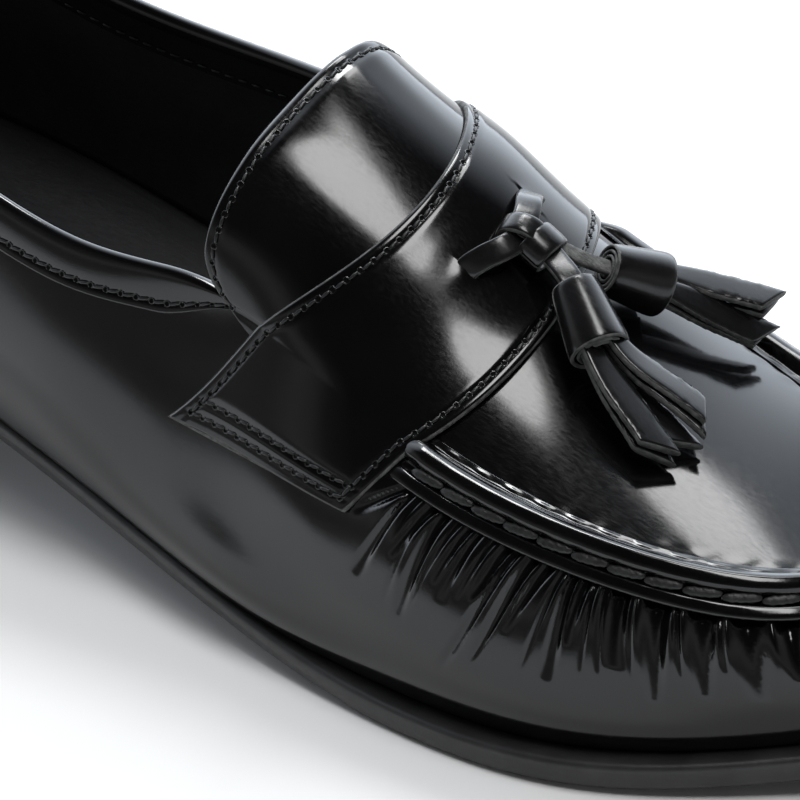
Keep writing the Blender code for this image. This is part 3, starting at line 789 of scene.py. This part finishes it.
# Edge of a sheet: distance inwards in corner radii and share of the thickness, then the underside's two ends
# and points, and the groove's half width with the fall beside it.
sheetForm = {"corner": 0.45, "edge": ((0.6, 0.95), (0.1, 0.75), (0.0, 0.5), (0.1, 0.2), (0.8, 0.0)),
             "flatFrom": 1.6, "under": (0.95, 0.05, 8), "cutWithin": 0.9, "topFrom": 0.6, "grooveHalf": 0.75,
             "fall": 0.9}


# Sheet section between two edges: top from edge to edge, rounded corners, then the underside back, as the
# part along it and the share of the thickness.
def sheetSection(wide, topCount):
    corner = sheetForm["corner"] / wide
    flat = sheetForm["flatFrom"] * corner
    top = np.stack([np.linspace(flat, 1 - flat, topCount), np.ones(topCount)], 1)
    edge = np.array(sheetForm["edge"]) * (-corner, 1) + (1, 0)
    under = np.linspace(*sheetForm["under"])
    under = np.stack([under, np.zeros(len(under))], 1)
    return np.concatenate([top, edge, under, (edge * (-1, 1) + (1, 0))[::-1]])


# Which faces along a sheet are its cut edge: those between part-thick section points, and both end faces.
def sheetKinds(share, count):
    cut = np.abs(np.roll(share, -1) + share - 1) < sheetForm["cutWithin"]
    return np.concatenate([np.tile(cut, (count - 1, 1)).ravel(), [1, 1]])


# Pressed seam near an edge: a bell-shaped groove along the stitches and a slight fall from there to the edge.
def pressed(distance, margin, groove):
    fall = sheetForm["fall"] * groove * ease(1 - distance / margin)
    return -groove * bell(distance - margin, sheetForm["grooveHalf"]) - fall


# Relief beside a slit: along it a bell, across it a lip that steps up at the cut and dies away, and a dent
# opposite.
def slitRelief(points, slit):
    first, last = np.array(slit["from"]), np.array(slit["to"])
    long = np.linalg.norm(last - first)
    rel = points - (first + last) / 2
    along = rel @ (last - first) / long
    aside = rel @ unit(np.cross(up, last - first)) * slit["side"]
    lip = slit["lip"] * np.exp(-np.abs(aside) / slitForm["lipFade"])
    dent = -slitForm["dent"] * np.exp(-np.abs(aside) / slitForm["dentFade"])
    return np.where(aside > 0, lip, dent) * bell(along, slitForm["share"] * long)


def saddleStrap():
    section = sheetSection(strapShape["wide"], strapShape["around"])
    part, share = section[:, 0], section[:, 1]
    aside = np.linspace(-1, strapShape["inner"], strapShape["steps"])[:, None]
    toEdge = np.minimum(part, 1 - part) * strapShape["wide"]
    toEnd = np.minimum(1 + aside, strapShape["inner"] - aside) * strapShape["long"]
    relief = np.minimum(pressed(toEdge, strapShape["margin"], strapShape["groove"]),
                        pressed(toEnd, strapShape["endRows"][0], strapShape["endGroove"]))
    secondGroove = bell(toEnd - strapShape["endRows"][1], sheetForm["grooveHalf"])
    relief = np.minimum(relief, -strapShape["endGroove"] * secondGroove)
    flat = strapPoint(part, aside, strapShape["thick"] * share)
    for slit in slits.values():
        relief = relief + slitRelief(flat, slit)
    points = strapPoint(part, aside, strapShape["thick"] * share + relief * (share > sheetForm["topFrom"]))
    makePiece("saddle_strap_leather", points, capFaces(*points.shape[:2]),
              ["polishedLeather", "rawEdge"], "saddle_strap", "upper_leather",
              kinds=sheetKinds(share, len(aside)))


# Line on the strap with its outward direction, for stitches.
def strapLine(part, aside):
    part, aside = np.broadcast_arrays(part, aside)
    height = np.full(len(part), strapShape["thick"] - strapShape["groove"])
    line = strapPoint(part, aside, height)
    return line, unit(strapPoint(part, aside, height + 1) - line)


def strapStitches():
    inset = strapShape["margin"] / strapShape["wide"]
    outerRow, secondRow = (distance / strapShape["long"] for distance in strapShape["endRows"])
    aside = np.linspace(outerRow - 1, strapShape["inner"] - outerRow, lineSteps["strap"])
    for name, part in (("back", inset), ("front", 1 - inset)):
        stitchRow(f"strap_stitches_{name}", *strapLine(part, aside), strapThread, "saddle_strap")
    part = np.linspace(inset, 1 - inset, lineSteps["strapEnd"])
    for name, end, side in (("out", -1, 1), ("in", strapShape["inner"], -1)):
        loopPart = np.concatenate([part, part[::-1]])
        loopAside = np.repeat([end + side * outerRow, end + side * secondRow], len(part))
        stitchRow(f"strap_stitches_end_{name}", *strapLine(loopPart, loopAside), strapThread, "saddle_strap")


saddleStrap()
strapStitches()

# Tongue: a sheet over the collar's front ends, rounded at its back corners, its front half under the strap.
tongueShape = {"thick": 1.8, "reach": 1.06, "back": 4.85, "corner": 0.47, "round": 0.8, "roundness": 0.96,
               "gap": 0.3, "margin": 1.9, "groove": 0.35, "long": 34.0, "halfWide": 40.0, "steps": 240,
               "around": 64, "stitchReach": 0.95, "standFade": 2.5, "standSteps": 200,
               "stand": (  # across, and how far the back edge stands off the arch there
                   (-1.06, 0.0), (-0.72, 1.5), (-0.4, 0.0), (-0.06, -1.1), (0.28, 1.9), (0.45, 3.0),
                   (0.72, 1.2), (1.06, 0.0))}
tongueStand = smoothLine(tongueShape["stand"], tongueShape["standSteps"])


# Tongue surface: part runs from the rounded back edge 0 to the middle of the strap 1. The corner is a quarter
# of an ellipse. The back edge stands off the arch by a smooth line that dies away forwards by a power.
def tonguePoint(part, across, height):
    part, across, height = np.broadcast_arrays(part, across, height)
    rounding = (np.abs(across) - tongueShape["round"]) / (tongueShape["reach"] - tongueShape["round"])
    rounding = np.sqrt(1 - tongueShape["roundness"] * np.clip(rounding, 0, 1) ** 2)
    back = tongueShape["back"] + tongueShape["corner"] * (1 - rounding)
    front = (edgeLine(strapShape["back"], across) + edgeLine(strapShape["front"], across)) / 2
    stand = np.interp(across, *tongueStand.T) * (1 - part) ** tongueShape["standFade"]
    return overInstep(back * (1 - part) + front * part, across, tongueShape["gap"] + stand + height)


def tongue():
    section = sheetSection(tongueShape["long"], tongueShape["around"])
    part, share = section[:, 0], section[:, 1]
    aside = np.sin(np.linspace(-1, 1, tongueShape["steps"]) * np.pi / 2)[:, None]
    across = tongueShape["reach"] * aside
    toEdge = (tongueShape["reach"] - np.abs(across)) * tongueShape["halfWide"]
    toEdge = np.minimum(part * tongueShape["long"], toEdge)
    relief = pressed(toEdge, tongueShape["margin"], tongueShape["groove"]) * (share > sheetForm["topFrom"])
    points = tonguePoint(part, across, tongueShape["thick"] * share + relief)
    makePiece("tongue_leather", points, capFaces(*points.shape[:2]), ["polishedLeather", "rawEdge"],
              "tongue", "upper_leather", kinds=sheetKinds(share, len(aside)))
    inset = tongueShape["margin"] / tongueShape["long"]
    reach = tongueShape["stitchReach"]
    across = np.linspace(-reach, reach, lineSteps["tongue"]) * tongueShape["reach"]
    height = tongueShape["thick"] - tongueShape["groove"]
    line = tonguePoint(inset, across, height)
    normal = unit(tonguePoint(inset, across, height + 1) - line)
    stitchRow("tongue_stitches", line, normal, strapThread, "tongue")


tongue()
print("seam, strap and tongue made")

# Collar stitches: one row outside below the rim, one inside.
collarThread = {"outside": {**strapThread, "pitch": 3.0, "long": 2.4, "slant": 0.2},
                "inside": {**strapThread, "pitch": 3.0, "long": 2.2, "radius": 0.22, "holes": False}}


def collarStitches():
    place = np.linspace(-bindingShape["stitchEnd"], bindingShape["stitchEnd"], lineSteps["collar"])
    for side, (drop, out, step) in bindingShape["stitches"].items():
        line = bindingPoint(place, drop, out)
        normal = unit(bindingPoint(place, drop, out + step) - line)
        stitchRow(f"collar_stitches_{side}", line, normal, collarThread[side], "upper")


collarStitches()

# Insole, outsole and heel: plates whose edge is a profile carried round the feather line, filled by level
# rows from side to side.
underShape = {"soleThick": 4.8, "gap": 0.1, "bulge": 0.4, "edgeRound": 1.4, "soleRows": 24,
              "waistSide": 3.3, "waistBevel": 4.5, "waistInset": 0.5,
              "waistFrom": 2.8, "waistRise": 0.5, "waistTo": 6.2, "waistFall": 1.1}
insoleShape = {"inset": 2.2, "thick": 2.5, "dish": 1.2, "rows": 30,
               "rim": ((0.0, -2.5), (0.9, 0.0), (-0.6, 0.4), (-2.0, 0.0))}  # outwards, and above the top
heelShape = {"breast": 2.8, "inset": 0.8, "taper": 2.2, "steps": 161, "rows": 24, "foot": (0.5, 0.0, 0.03),
             "groove": (0.18, 0.33, 0.012),  # depth, share of the height and half width
             "shares": (0, 0.02, 0.06, *np.linspace(0.1, 1, 12))}  # of the height, 0 on the floor
plateLoop = np.linspace(0, rowCount, 360, endpoint=False)


# Straight rows from one line of points to another, dished by a parabola.
def rowsBetween(near, far, steps, dish=0.0):
    part = np.linspace(0, 1, steps + 1)[None, :, None]
    fill = near[:, None] * (1 - part) + far[:, None] * part - up * dish * 4 * part * (1 - part)
    return fill, gridFaces(*fill.shape[:2])


# Plate from rim sections (places by profile, bottom to top): the rim's faces, then rows joining each place to
# the facing one, dished on top.
def plate(name, rim, steps, finishes, node, slot, dish=0.0):
    places = np.arange(len(rim) // 2 + 1)
    grids = [(rim, gridFaces(*rim.shape[:2], closeRows=True))]
    for layer, sag in ((-1, dish), (0, 0.0)):
        grids.append(rowsBetween(rim[places, layer], rim[-places % len(rim), layer], steps, sag))
    makePiece(name, *joinGrids(grids), finishes, node, slot)


# Share of the sole's undercut at a place: whole at the waist, none under the heel and the ball.
def waistShare(place):
    side = fromHeel(place)
    rise = ease((side - underShape["waistFrom"]) / underShape["waistRise"])
    return (rise * ease((underShape["waistTo"] - side) / underShape["waistFall"]))[:, None]


def underFoot():
    out, foot = outward(plateLoop), footPoint(plateLoop)
    board = foot - out * insoleShape["inset"]
    rim = [board + out * outset + up * (insoleShape["thick"] + lift) for outset, lift in insoleShape["rim"]]
    plate("insole_sock", np.stack(rim, 1), insoleShape["rows"], ["insoleLeather"], "insole", "insole_leather",
          dish=insoleShape["dish"])
    seat = foot - up * underShape["gap"]
    floor = seat - up * np.minimum(underShape["soleThick"], seat[:, 2:3])
    waist, bulge = waistShare(plateLoop), underShape["bulge"]
    edge = out * (shelfAt(plateLoop) - underShape["waistInset"] * waist)
    side = (seat - floor)[:, 2:3] - underShape["edgeRound"]
    side = side + (underShape["waistSide"] - side) * waist  # height of the upright side
    undercut = underShape["waistBevel"] * waist
    rim = [  # base, then outwards and upwards from it
        (floor, -1.2 - undercut, 0.0), (floor, -0.3 - undercut, 0.15),
        (floor, 0.7 * bulge - 0.9 * undercut, 0.7), (seat, bulge, -side), (seat, bulge, -1.2),
        (seat, 0.7 * bulge, -0.6), (seat, -0.1, -0.15), (seat, -0.7, 0.0), (seat, -1.6, 0.0)]
    rim = np.stack([base + edge + out * outset + up * lift for base, outset, lift in rim], 1)
    plate("outsole_leather", rim, underShape["soleRows"], ["soleEdge"], "outsole", "sole_leather")


underFoot()


# Heel: its side a straight taper from the sole down to a smaller base, with a groove above the top piece.
def heelBlock():
    place = np.linspace(-heelShape["breast"], heelShape["breast"], heelShape["steps"])
    out = outward(place)
    top = footPoint(place) - up * (underShape["soleThick"] + 2 * underShape["gap"])
    top = top + out * (shelfAt(place) - heelShape["inset"])
    share = np.array(heelShape["shares"])[None, :, None]
    base = top * (1, 1, 0) - out * heelShape["taper"]
    inset = sum(deep * bell(share - at, half) for deep, at, half in (heelShape["foot"], heelShape["groove"]))
    rim = base[:, None] * (1 - share) + top[:, None] * share - out[:, None] * inset
    back = len(place) // 2
    pairs = [(rim[back:, layer], rim[back::-1, layer]) for layer in (0, -1)] + [(rim[-1], rim[0])]
    grids = [rowsBetween(near, far, heelShape["rows"]) for near, far in pairs]
    makePiece("heel_stack", *joinGrids([(rim, gridFaces(*rim.shape[:2]))] + grids), ["soleEdge"], "heel",
              "sole_leather")


heelBlock()
print("insole, outsole and heel made")


# Section of a flat strip: points around, powers that square its width and thickness, and how far round its
# sides are raw.
stripForm = {"around": 20, "wide": 0.45, "tall": 0.55, "rawWithin": 0.5}


# Turns round a strip's section, from the given share of a step.
def stripTurns(share):
    step = 2 * np.pi / stripForm["around"]
    return np.linspace(0, 2 * np.pi, stripForm["around"], endpoint=False) + share * step


# Flat strip along a path: a rounded oblong section, its width across the path and its thickness along the
# face direction.
def stripPoints(path, face, width, thick):
    along = unit(np.gradient(path, axis=0))
    side = unit(np.cross(np.broadcast_to(face, path.shape), along))
    out = np.cross(along, side)
    turn = stripTurns(0.5)
    wide = np.sign(np.cos(turn)) * np.abs(np.cos(turn)) ** stripForm["wide"]
    tall = np.sign(np.sin(turn)) * np.abs(np.sin(turn)) ** stripForm["tall"]
    width = np.broadcast_to(np.asarray(width, float), (len(path),))[:, None, None] / 2
    return path[:, None] + side[:, None] * width * wide[:, None] + out[:, None] * tall[:, None] * thick / 2


# Which faces of a strip are its raw cut sides: those whose section points lie at the far ends of its width.
def stripKinds(count):
    raw = np.abs(np.sin(stripTurns(1.0))) < stripForm["rawWithin"]
    return np.concatenate([np.tile(raw, (count - 1, 1)).ravel(), [1, 1]])


# One piece from several strips; those named as rough show their raw side all over.
def leatherStrips(name, strips, node, rough=()):
    grids = [(points, capFaces(*points.shape[:2])) for points in strips.values()]
    kinds = [np.maximum(stripKinds(len(points)), title in rough) for title, points in strips.items()]
    makePiece(name, *joinGrids(grids), ["thongLeather", "rawEdge"], node, "tassel_leather",
              kinds=np.concatenate(kinds))


# Tassels: a strip rolled into a widening spiral band, and cut fringe strips stacked in it. Each strip has its
# root's offset in the band towards the outer side and upwards, the place of its tip, its width, how far the
# tip is cut on the slant, and the way its face lies.
tassels = {
    "tassel_out": {"top": (206.4, 2.3, 59.6), "end": (215.7, -3.0, 53.2), "radius": 5.2, "turns": 3.0,
                   "start": 200,
                   "strips": ((1.9, 1.5, (231.6, -9.2, 43.9), 5.6, 2.2, (0.29, 0.09, 0.95)),
                              (-2.2, 1.7, (232.6, 1.2, 45.6), 5.0, -1.6, (0.27, 0.15, 0.95)),
                              (1.9, -0.1, (230.8, -9.7, 42.2), 5.4, 2.6, (0.29, 0.09, 0.95)),
                              (-2.0, 0.1, (233.0, 0.2, 43.9), 5.0, -2.2, (0.28, 0.16, 0.95)),
                              (0.3, -1.7, (232.2, -4.2, 42.0), 5.4, 2.0, (0.28, 0.08, 0.95)))},
    "tassel_in": {"top": (206.4, 10.0, 58.9), "end": (211.2, 17.5, 53.4), "radius": 5.3, "turns": 3.1,
                  "start": 150,
                  "strips": ((-1.8, 1.4, (224.2, 29.8, 48.0), 5.4, 2.0, (0.24, -0.02, 0.97)),
                             (2.2, 0.3, (225.2, 26.2, 43.6), 5.2, 2.0, (0.34, -0.25, 0.91)),
                             (-1.6, -0.2, (223.4, 30.0, 46.2), 5.2, 1.4, (0.24, -0.02, 0.97)),
                             (2.0, -1.3, (223.8, 26.8, 42.2), 5.0, 1.4, (0.32, -0.20, 0.92)))},
}
band = {"layer": 1.15, "leather": 0.82, "wound": 0.85, "taper": 0.14, "steps": 180}
fringe = {"thick": 1.5, "fray": 0.05, "frayFrom": 0.2, "frayEdge": 0.85, "root": 3.0, "straight": 7.0,
          "bend": 0.6, "rootWidth": 0.6, "widenOver": 0.6, "cutFrom": 0.72, "tipSteps": 8, "steps": 44}


# Spiral: a circle whose radius grows by a layer a turn, widened along its axis. Strip: a cubic curve from
# inside the band to its tip, its tip cut on the slant and its raw edges frayed by seeded chance.
def tassel(name, shape):
    top, end = np.array(shape["top"]), np.array(shape["end"])
    centre, long = (top + end) / 2, np.linalg.norm(end - top)
    axis = (end - top) / long
    above = unit(up - axis * axis[2])
    aside = np.cross(axis, above)
    turn = np.radians(shape["start"]) + np.linspace(0, 2 * np.pi * shape["turns"], band["steps"])
    inner = band["wound"] * band["layer"] * np.linspace(1, 0, band["steps"]) * shape["turns"]
    radial = above * np.cos(turn)[:, None] + aside * np.sin(turn)[:, None]
    path = centre + radial * (shape["radius"] - band["layer"] / 2 - inner)[:, None]
    roll = stripPoints(path, radial, long, band["layer"] * band["leather"]) - centre
    height = (roll @ axis)[..., None]
    widened = 1 + band["taper"] * 2 * height / long
    strips = {"band": centre + height * axis + (roll - height * axis) * widened}
    part = np.linspace(0, 1, fringe["steps"])
    for number, (outer, rise, tip, width, cut, lie) in enumerate(shape["strips"]):
        tip, lie = np.array(tip, float), np.array(lie, float)
        root = end - axis * fringe["root"] + aside * outer + above * rise
        bend = tip * fringe["bend"] + root * (1 - fringe["bend"])
        path = bezier(root, root + axis * fringe["straight"], bend, tip, part)
        widening = fringe["rootWidth"] + (1 - fringe["rootWidth"]) * ease(part / fringe["widenOver"])
        points = stripPoints(path, lie, width * widening, fringe["thick"])
        run = unit(tip - path[-fringe["tipSteps"]])
        share = ((points - path[:, None]) @ unit(np.cross(lie, run))) * 2 / width
        slant = ease((part - fringe["cutFrom"]) / (1 - fringe["cutFrom"]))[:, None] * cut * share
        raw = (np.abs(share) > fringe["frayEdge"]) & (part > fringe["frayFrom"])[:, None]
        fray = chance.normal(0, fringe["fray"], points.shape) * raw[..., None]
        strips[number] = points + slant[..., None] * run + fray
    leatherStrips(name + "_leather", strips, name)


for tasselName, tasselShape in tassels.items():
    tassel(tasselName, tasselShape)

# Tie: strands of the thong from its two slits, two wraps of the knot, and the tails to the tassels.
tie = {
    "thick": 1.3, "rough": ("tailIn",), "strandSteps": 40, "wrapSteps": 57,
    "strands": {  # points, face direction and width
        "fromOuterSlit": (((189.5, -6.6, 57.6), (190.2, -5.3, 60.9), (192.2, -3.3, 62.8), (193.7, -1.4, 63.6),
                           (194.6, 0.8, 64.0), (194.7, 3.6, 63.9)), (0.5, -0.5, 0.7), 4.2),
        "fromTopSlit": (((186.6, 16.0, 62.4), (188.9, 12.9, 65.0), (191.0, 10.2, 66.3), (192.6, 8.0, 66.3),
                         (193.8, 5.4, 65.6), (194.1, 2.9, 64.4)), (0.45, -0.3, 0.84), 4.4),
        "tailOut": (((196.0, 5.3, 62.6), (198.6, 4.9, 62.2), (200.9, 4.3, 61.4), (204.3, 3.1, 60.4),
                     (208.5, 1.5, 58.4)), (0.45, -0.2, 0.87), 4.2),
        "tailIn": (((196.0, 5.6, 62.6), (198.4, 6.5, 62.2), (200.6, 7.4, 61.3), (203.8, 8.2, 60.3),
                    (207.6, 10.6, 58.4)), (0.45, -0.2, 0.87), 2.6),
    },
    "wraps": {  # centre, axis, radius along and off the strap, band width
        "first": ((193.9, 4.5, 64.0), (-2.3, 10.4, 2.6), 3.3, 2.4, 4.0),
        "second": ((197.2, 5.4, 62.0), (4.8, 0.3, -3.1), 3.4, 2.6, 4.8),
    },
}


# Strand: a smooth line through its points. Wrap: an ellipse square to its axis, flattened towards the strap.
def tieThong():
    strips = {name: stripPoints(smoothLine(points, tie["strandSteps"]), face, width, tie["thick"])
              for name, (points, face, width) in tie["strands"].items()}
    turn = np.linspace(0, 2 * np.pi, tie["wrapSteps"])[:, None]
    for name, (centre, axis, wide, tall, width) in tie["wraps"].items():
        axis = unit(np.array(axis))
        off = unit(up - axis * axis[2])
        level = np.cross(axis, off)
        path = np.array(centre) + level * wide * np.cos(turn) + off * tall * np.sin(turn)
        face = level * np.cos(turn) / wide + off * np.sin(turn) / tall
        strips[name] = stripPoints(path, face, width, tie["thick"])
    leatherStrips("tassel_tie_thong", strips, "tassel_tie", tie["rough"])


tieThong()
print("tassels and tie made")

# Floor, light and camera
stageLook = {"floor": 4.0, "floorTone": 0.86}  # half size in metres


def floorPlane():
    half = stageLook["floor"]
    mesh = bpy.data.meshes.new("floor")
    corners = [(-half, -half, 0), (half, -half, 0), (half, half, 0), (-half, half, 0)]
    mesh.from_pydata(corners, [], [(0, 1, 2, 3)])
    floor = bpy.data.objects.new("floor", mesh)
    paper = bpy.data.materials.new("palePaper")
    paper.use_nodes = True
    shader = paper.node_tree.nodes["Principled BSDF"]
    shader.inputs["Base Color"].default_value = (stageLook["floorTone"],) * 3 + (1,)
    shader.inputs["Roughness"].default_value = 1.0
    shader.inputs["Specular IOR Level"].default_value = 0.0
    mesh.materials.append(paper)
    scene.collection.objects.link(floor)


floorPlane()

lights = {  # place, target and size in metres, turn about the beam in degrees, watts, seen mirrored or not
    "keyStrip": {"place": (0.28, 0.075, 1.36), "target": (0.03, 0.0, 0.07), "size": (0.86, 0.37), "spin": -33,
                 "power": 7.6, "shape": "ELLIPSE", "mirrored": True},
    "keyEdge": {"place": (0.29, 0.08, 1.40), "target": (0.03, 0.0, 0.07), "size": (1.0, 0.50), "spin": -33,
                "power": 1.6, "shape": "ELLIPSE", "mirrored": True},
    "crestBox": {"place": (-0.50, 0.66, 1.20), "target": (0.06, -0.01, 0.04), "size": (0.26, 0.34), "spin": 0,
                 "power": 6.0, "shape": "RECTANGLE", "mirrored": True},
    "backBox": {"place": (-0.20, 0.73, 1.25), "target": (0.06, -0.01, 0.04), "size": (0.30, 0.28), "spin": 0,
                "power": 2.6, "shape": "RECTANGLE", "mirrored": True},
    "topFill": {"place": (0.1, 0.1, 1.5), "target": (0.05, 0.0, 0.0), "size": (1.3, 1.3), "spin": 0,
                "power": 4, "shape": "RECTANGLE", "mirrored": False},
}


# Matrix of an object at a place with the given right, up and back directions as columns.
def placed(axes, place):
    matrix = np.eye(4)
    matrix[:3, :3], matrix[:3, 3] = axes, place
    return Matrix(matrix.tolist())


# Matrix of an object that looks from its place at a target, turned about its beam by the spin.
def lookFrom(place, target, spin):
    back = unit(np.array(place, float) - np.array(target, float))
    level = unit(np.cross((0.0, 1.0, 0.0), back))
    right = level * np.cos(np.radians(spin)) + np.cross(back, level) * np.sin(np.radians(spin))
    return placed(np.stack([right, np.cross(back, right), back], 1), place)


for lightName, look in lights.items():
    lamp = bpy.data.lights.new(lightName, "AREA")
    lamp.shape = look["shape"]
    lamp.size, lamp.size_y = look["size"]
    lamp.energy = look["power"]
    holder = bpy.data.objects.new(lightName, lamp)
    holder.matrix_world = lookFrom(look["place"], look["target"], look["spin"])
    holder.visible_glossy = look["mirrored"]
    scene.collection.objects.link(holder)

roomLook = {  # height of the direction and brightness there, for the near side and the far side
    "near": ((0.0, 0.5), (0.05, 0.22), (0.15, 0.18), (0.3, 0.34), (0.4, 0.26), (0.48, 0.1), (0.62, 0.03),
             (1.0, 0.02)),
    "far": ((0.0, 1.0), (0.5, 0.95), (0.72, 0.8), (0.8, 0.6), (0.88, 0.25), (0.95, 0.0)),
    "tones": {"near": (1.0, 1.0, 1.0), "far": (0.82, 0.9, 1.0)},
    "nearPower": 1.0, "farPower": 3.8, "farSlant": 0.9, "farFrom": 0.3, "farTo": 1.1,
}


# Room: dim on the near side, with a bright cool panel behind the shoe towards the heel; both fade upwards.
def studioRoom():
    room = bpy.data.worlds.new("studioRoom")
    room.use_nodes = True
    tree = room.node_tree
    direction = tree.nodes.new("ShaderNodeTexCoord")
    axes = tree.nodes.new("ShaderNodeSeparateXYZ")
    tree.links.new(direction.outputs["Generated"], axes.inputs["Vector"])
    forward = mathNode(tree, "MULTIPLY", axes.outputs["X"], roomLook["farSlant"])
    slanted = mathNode(tree, "SUBTRACT", axes.outputs["Y"], forward)
    behind = rangeNode(tree, slanted, 0.0, 1.0, roomLook["farFrom"], roomLook["farTo"])
    powers = {"near": roomLook["nearPower"], "far": mathNode(tree, "MULTIPLY", behind, roomLook["farPower"])}
    total = tree.nodes.new("ShaderNodeVectorMath")
    for socket, (side, power) in zip(total.inputs, powers.items()):
        ramp = tree.nodes.new("ShaderNodeValToRGB")
        while len(ramp.color_ramp.elements) < len(roomLook[side]):
            ramp.color_ramp.elements.new(0.5)
        for element, (spot, value) in zip(ramp.color_ramp.elements, roomLook[side]):
            element.position = spot
            element.color = (*(value * tone for tone in roomLook["tones"][side]), 1)
        tree.links.new(axes.outputs["Z"], ramp.inputs["Fac"])
        glow = tree.nodes.new("ShaderNodeVectorMath")
        glow.operation = "SCALE"
        tree.links.new(ramp.outputs["Color"], glow.inputs["Vector"])
        feed(tree, power, glow.inputs["Scale"])
        tree.links.new(glow.outputs["Vector"], socket)
    background = tree.nodes["Background"]
    tree.links.new(total.outputs["Vector"], background.inputs["Color"])
    background.inputs["Strength"].default_value = 1.0
    scene.world = room


studioRoom()
scene.view_settings.view_transform = "Standard"

cameraLook = {"turn": 44, "height": 33, "roll": -6, "distance": 1.085, "target": (0.02762, -0.00812, 0.0323),
              "lens": 298.8, "sensor": 36}


# Camera at a distance from its target along the back direction, its right and up turned by the roll.
def studioCamera():
    turn, height, roll = (np.radians(cameraLook[key]) for key in ("turn", "height", "roll"))
    back = np.array([np.sin(turn) * np.cos(height), -np.cos(turn) * np.cos(height), np.sin(height)])
    right = np.array([np.cos(turn), np.sin(turn), 0])
    above = np.cross(back, right)
    rolledRight = right * np.cos(roll) + above * np.sin(roll)
    axes = np.stack([rolledRight, np.cross(back, rolledRight), back], 1)
    spot = np.array(cameraLook["target"]) + back * cameraLook["distance"]
    lens = bpy.data.cameras.new("studioCamera")
    lens.lens, lens.sensor_width = cameraLook["lens"], cameraLook["sensor"]
    holder = bpy.data.objects.new("studioCamera", lens)
    holder.matrix_world = placed(axes, spot)
    scene.collection.objects.link(holder)
    scene.camera = holder


studioCamera()

print("scene ready")
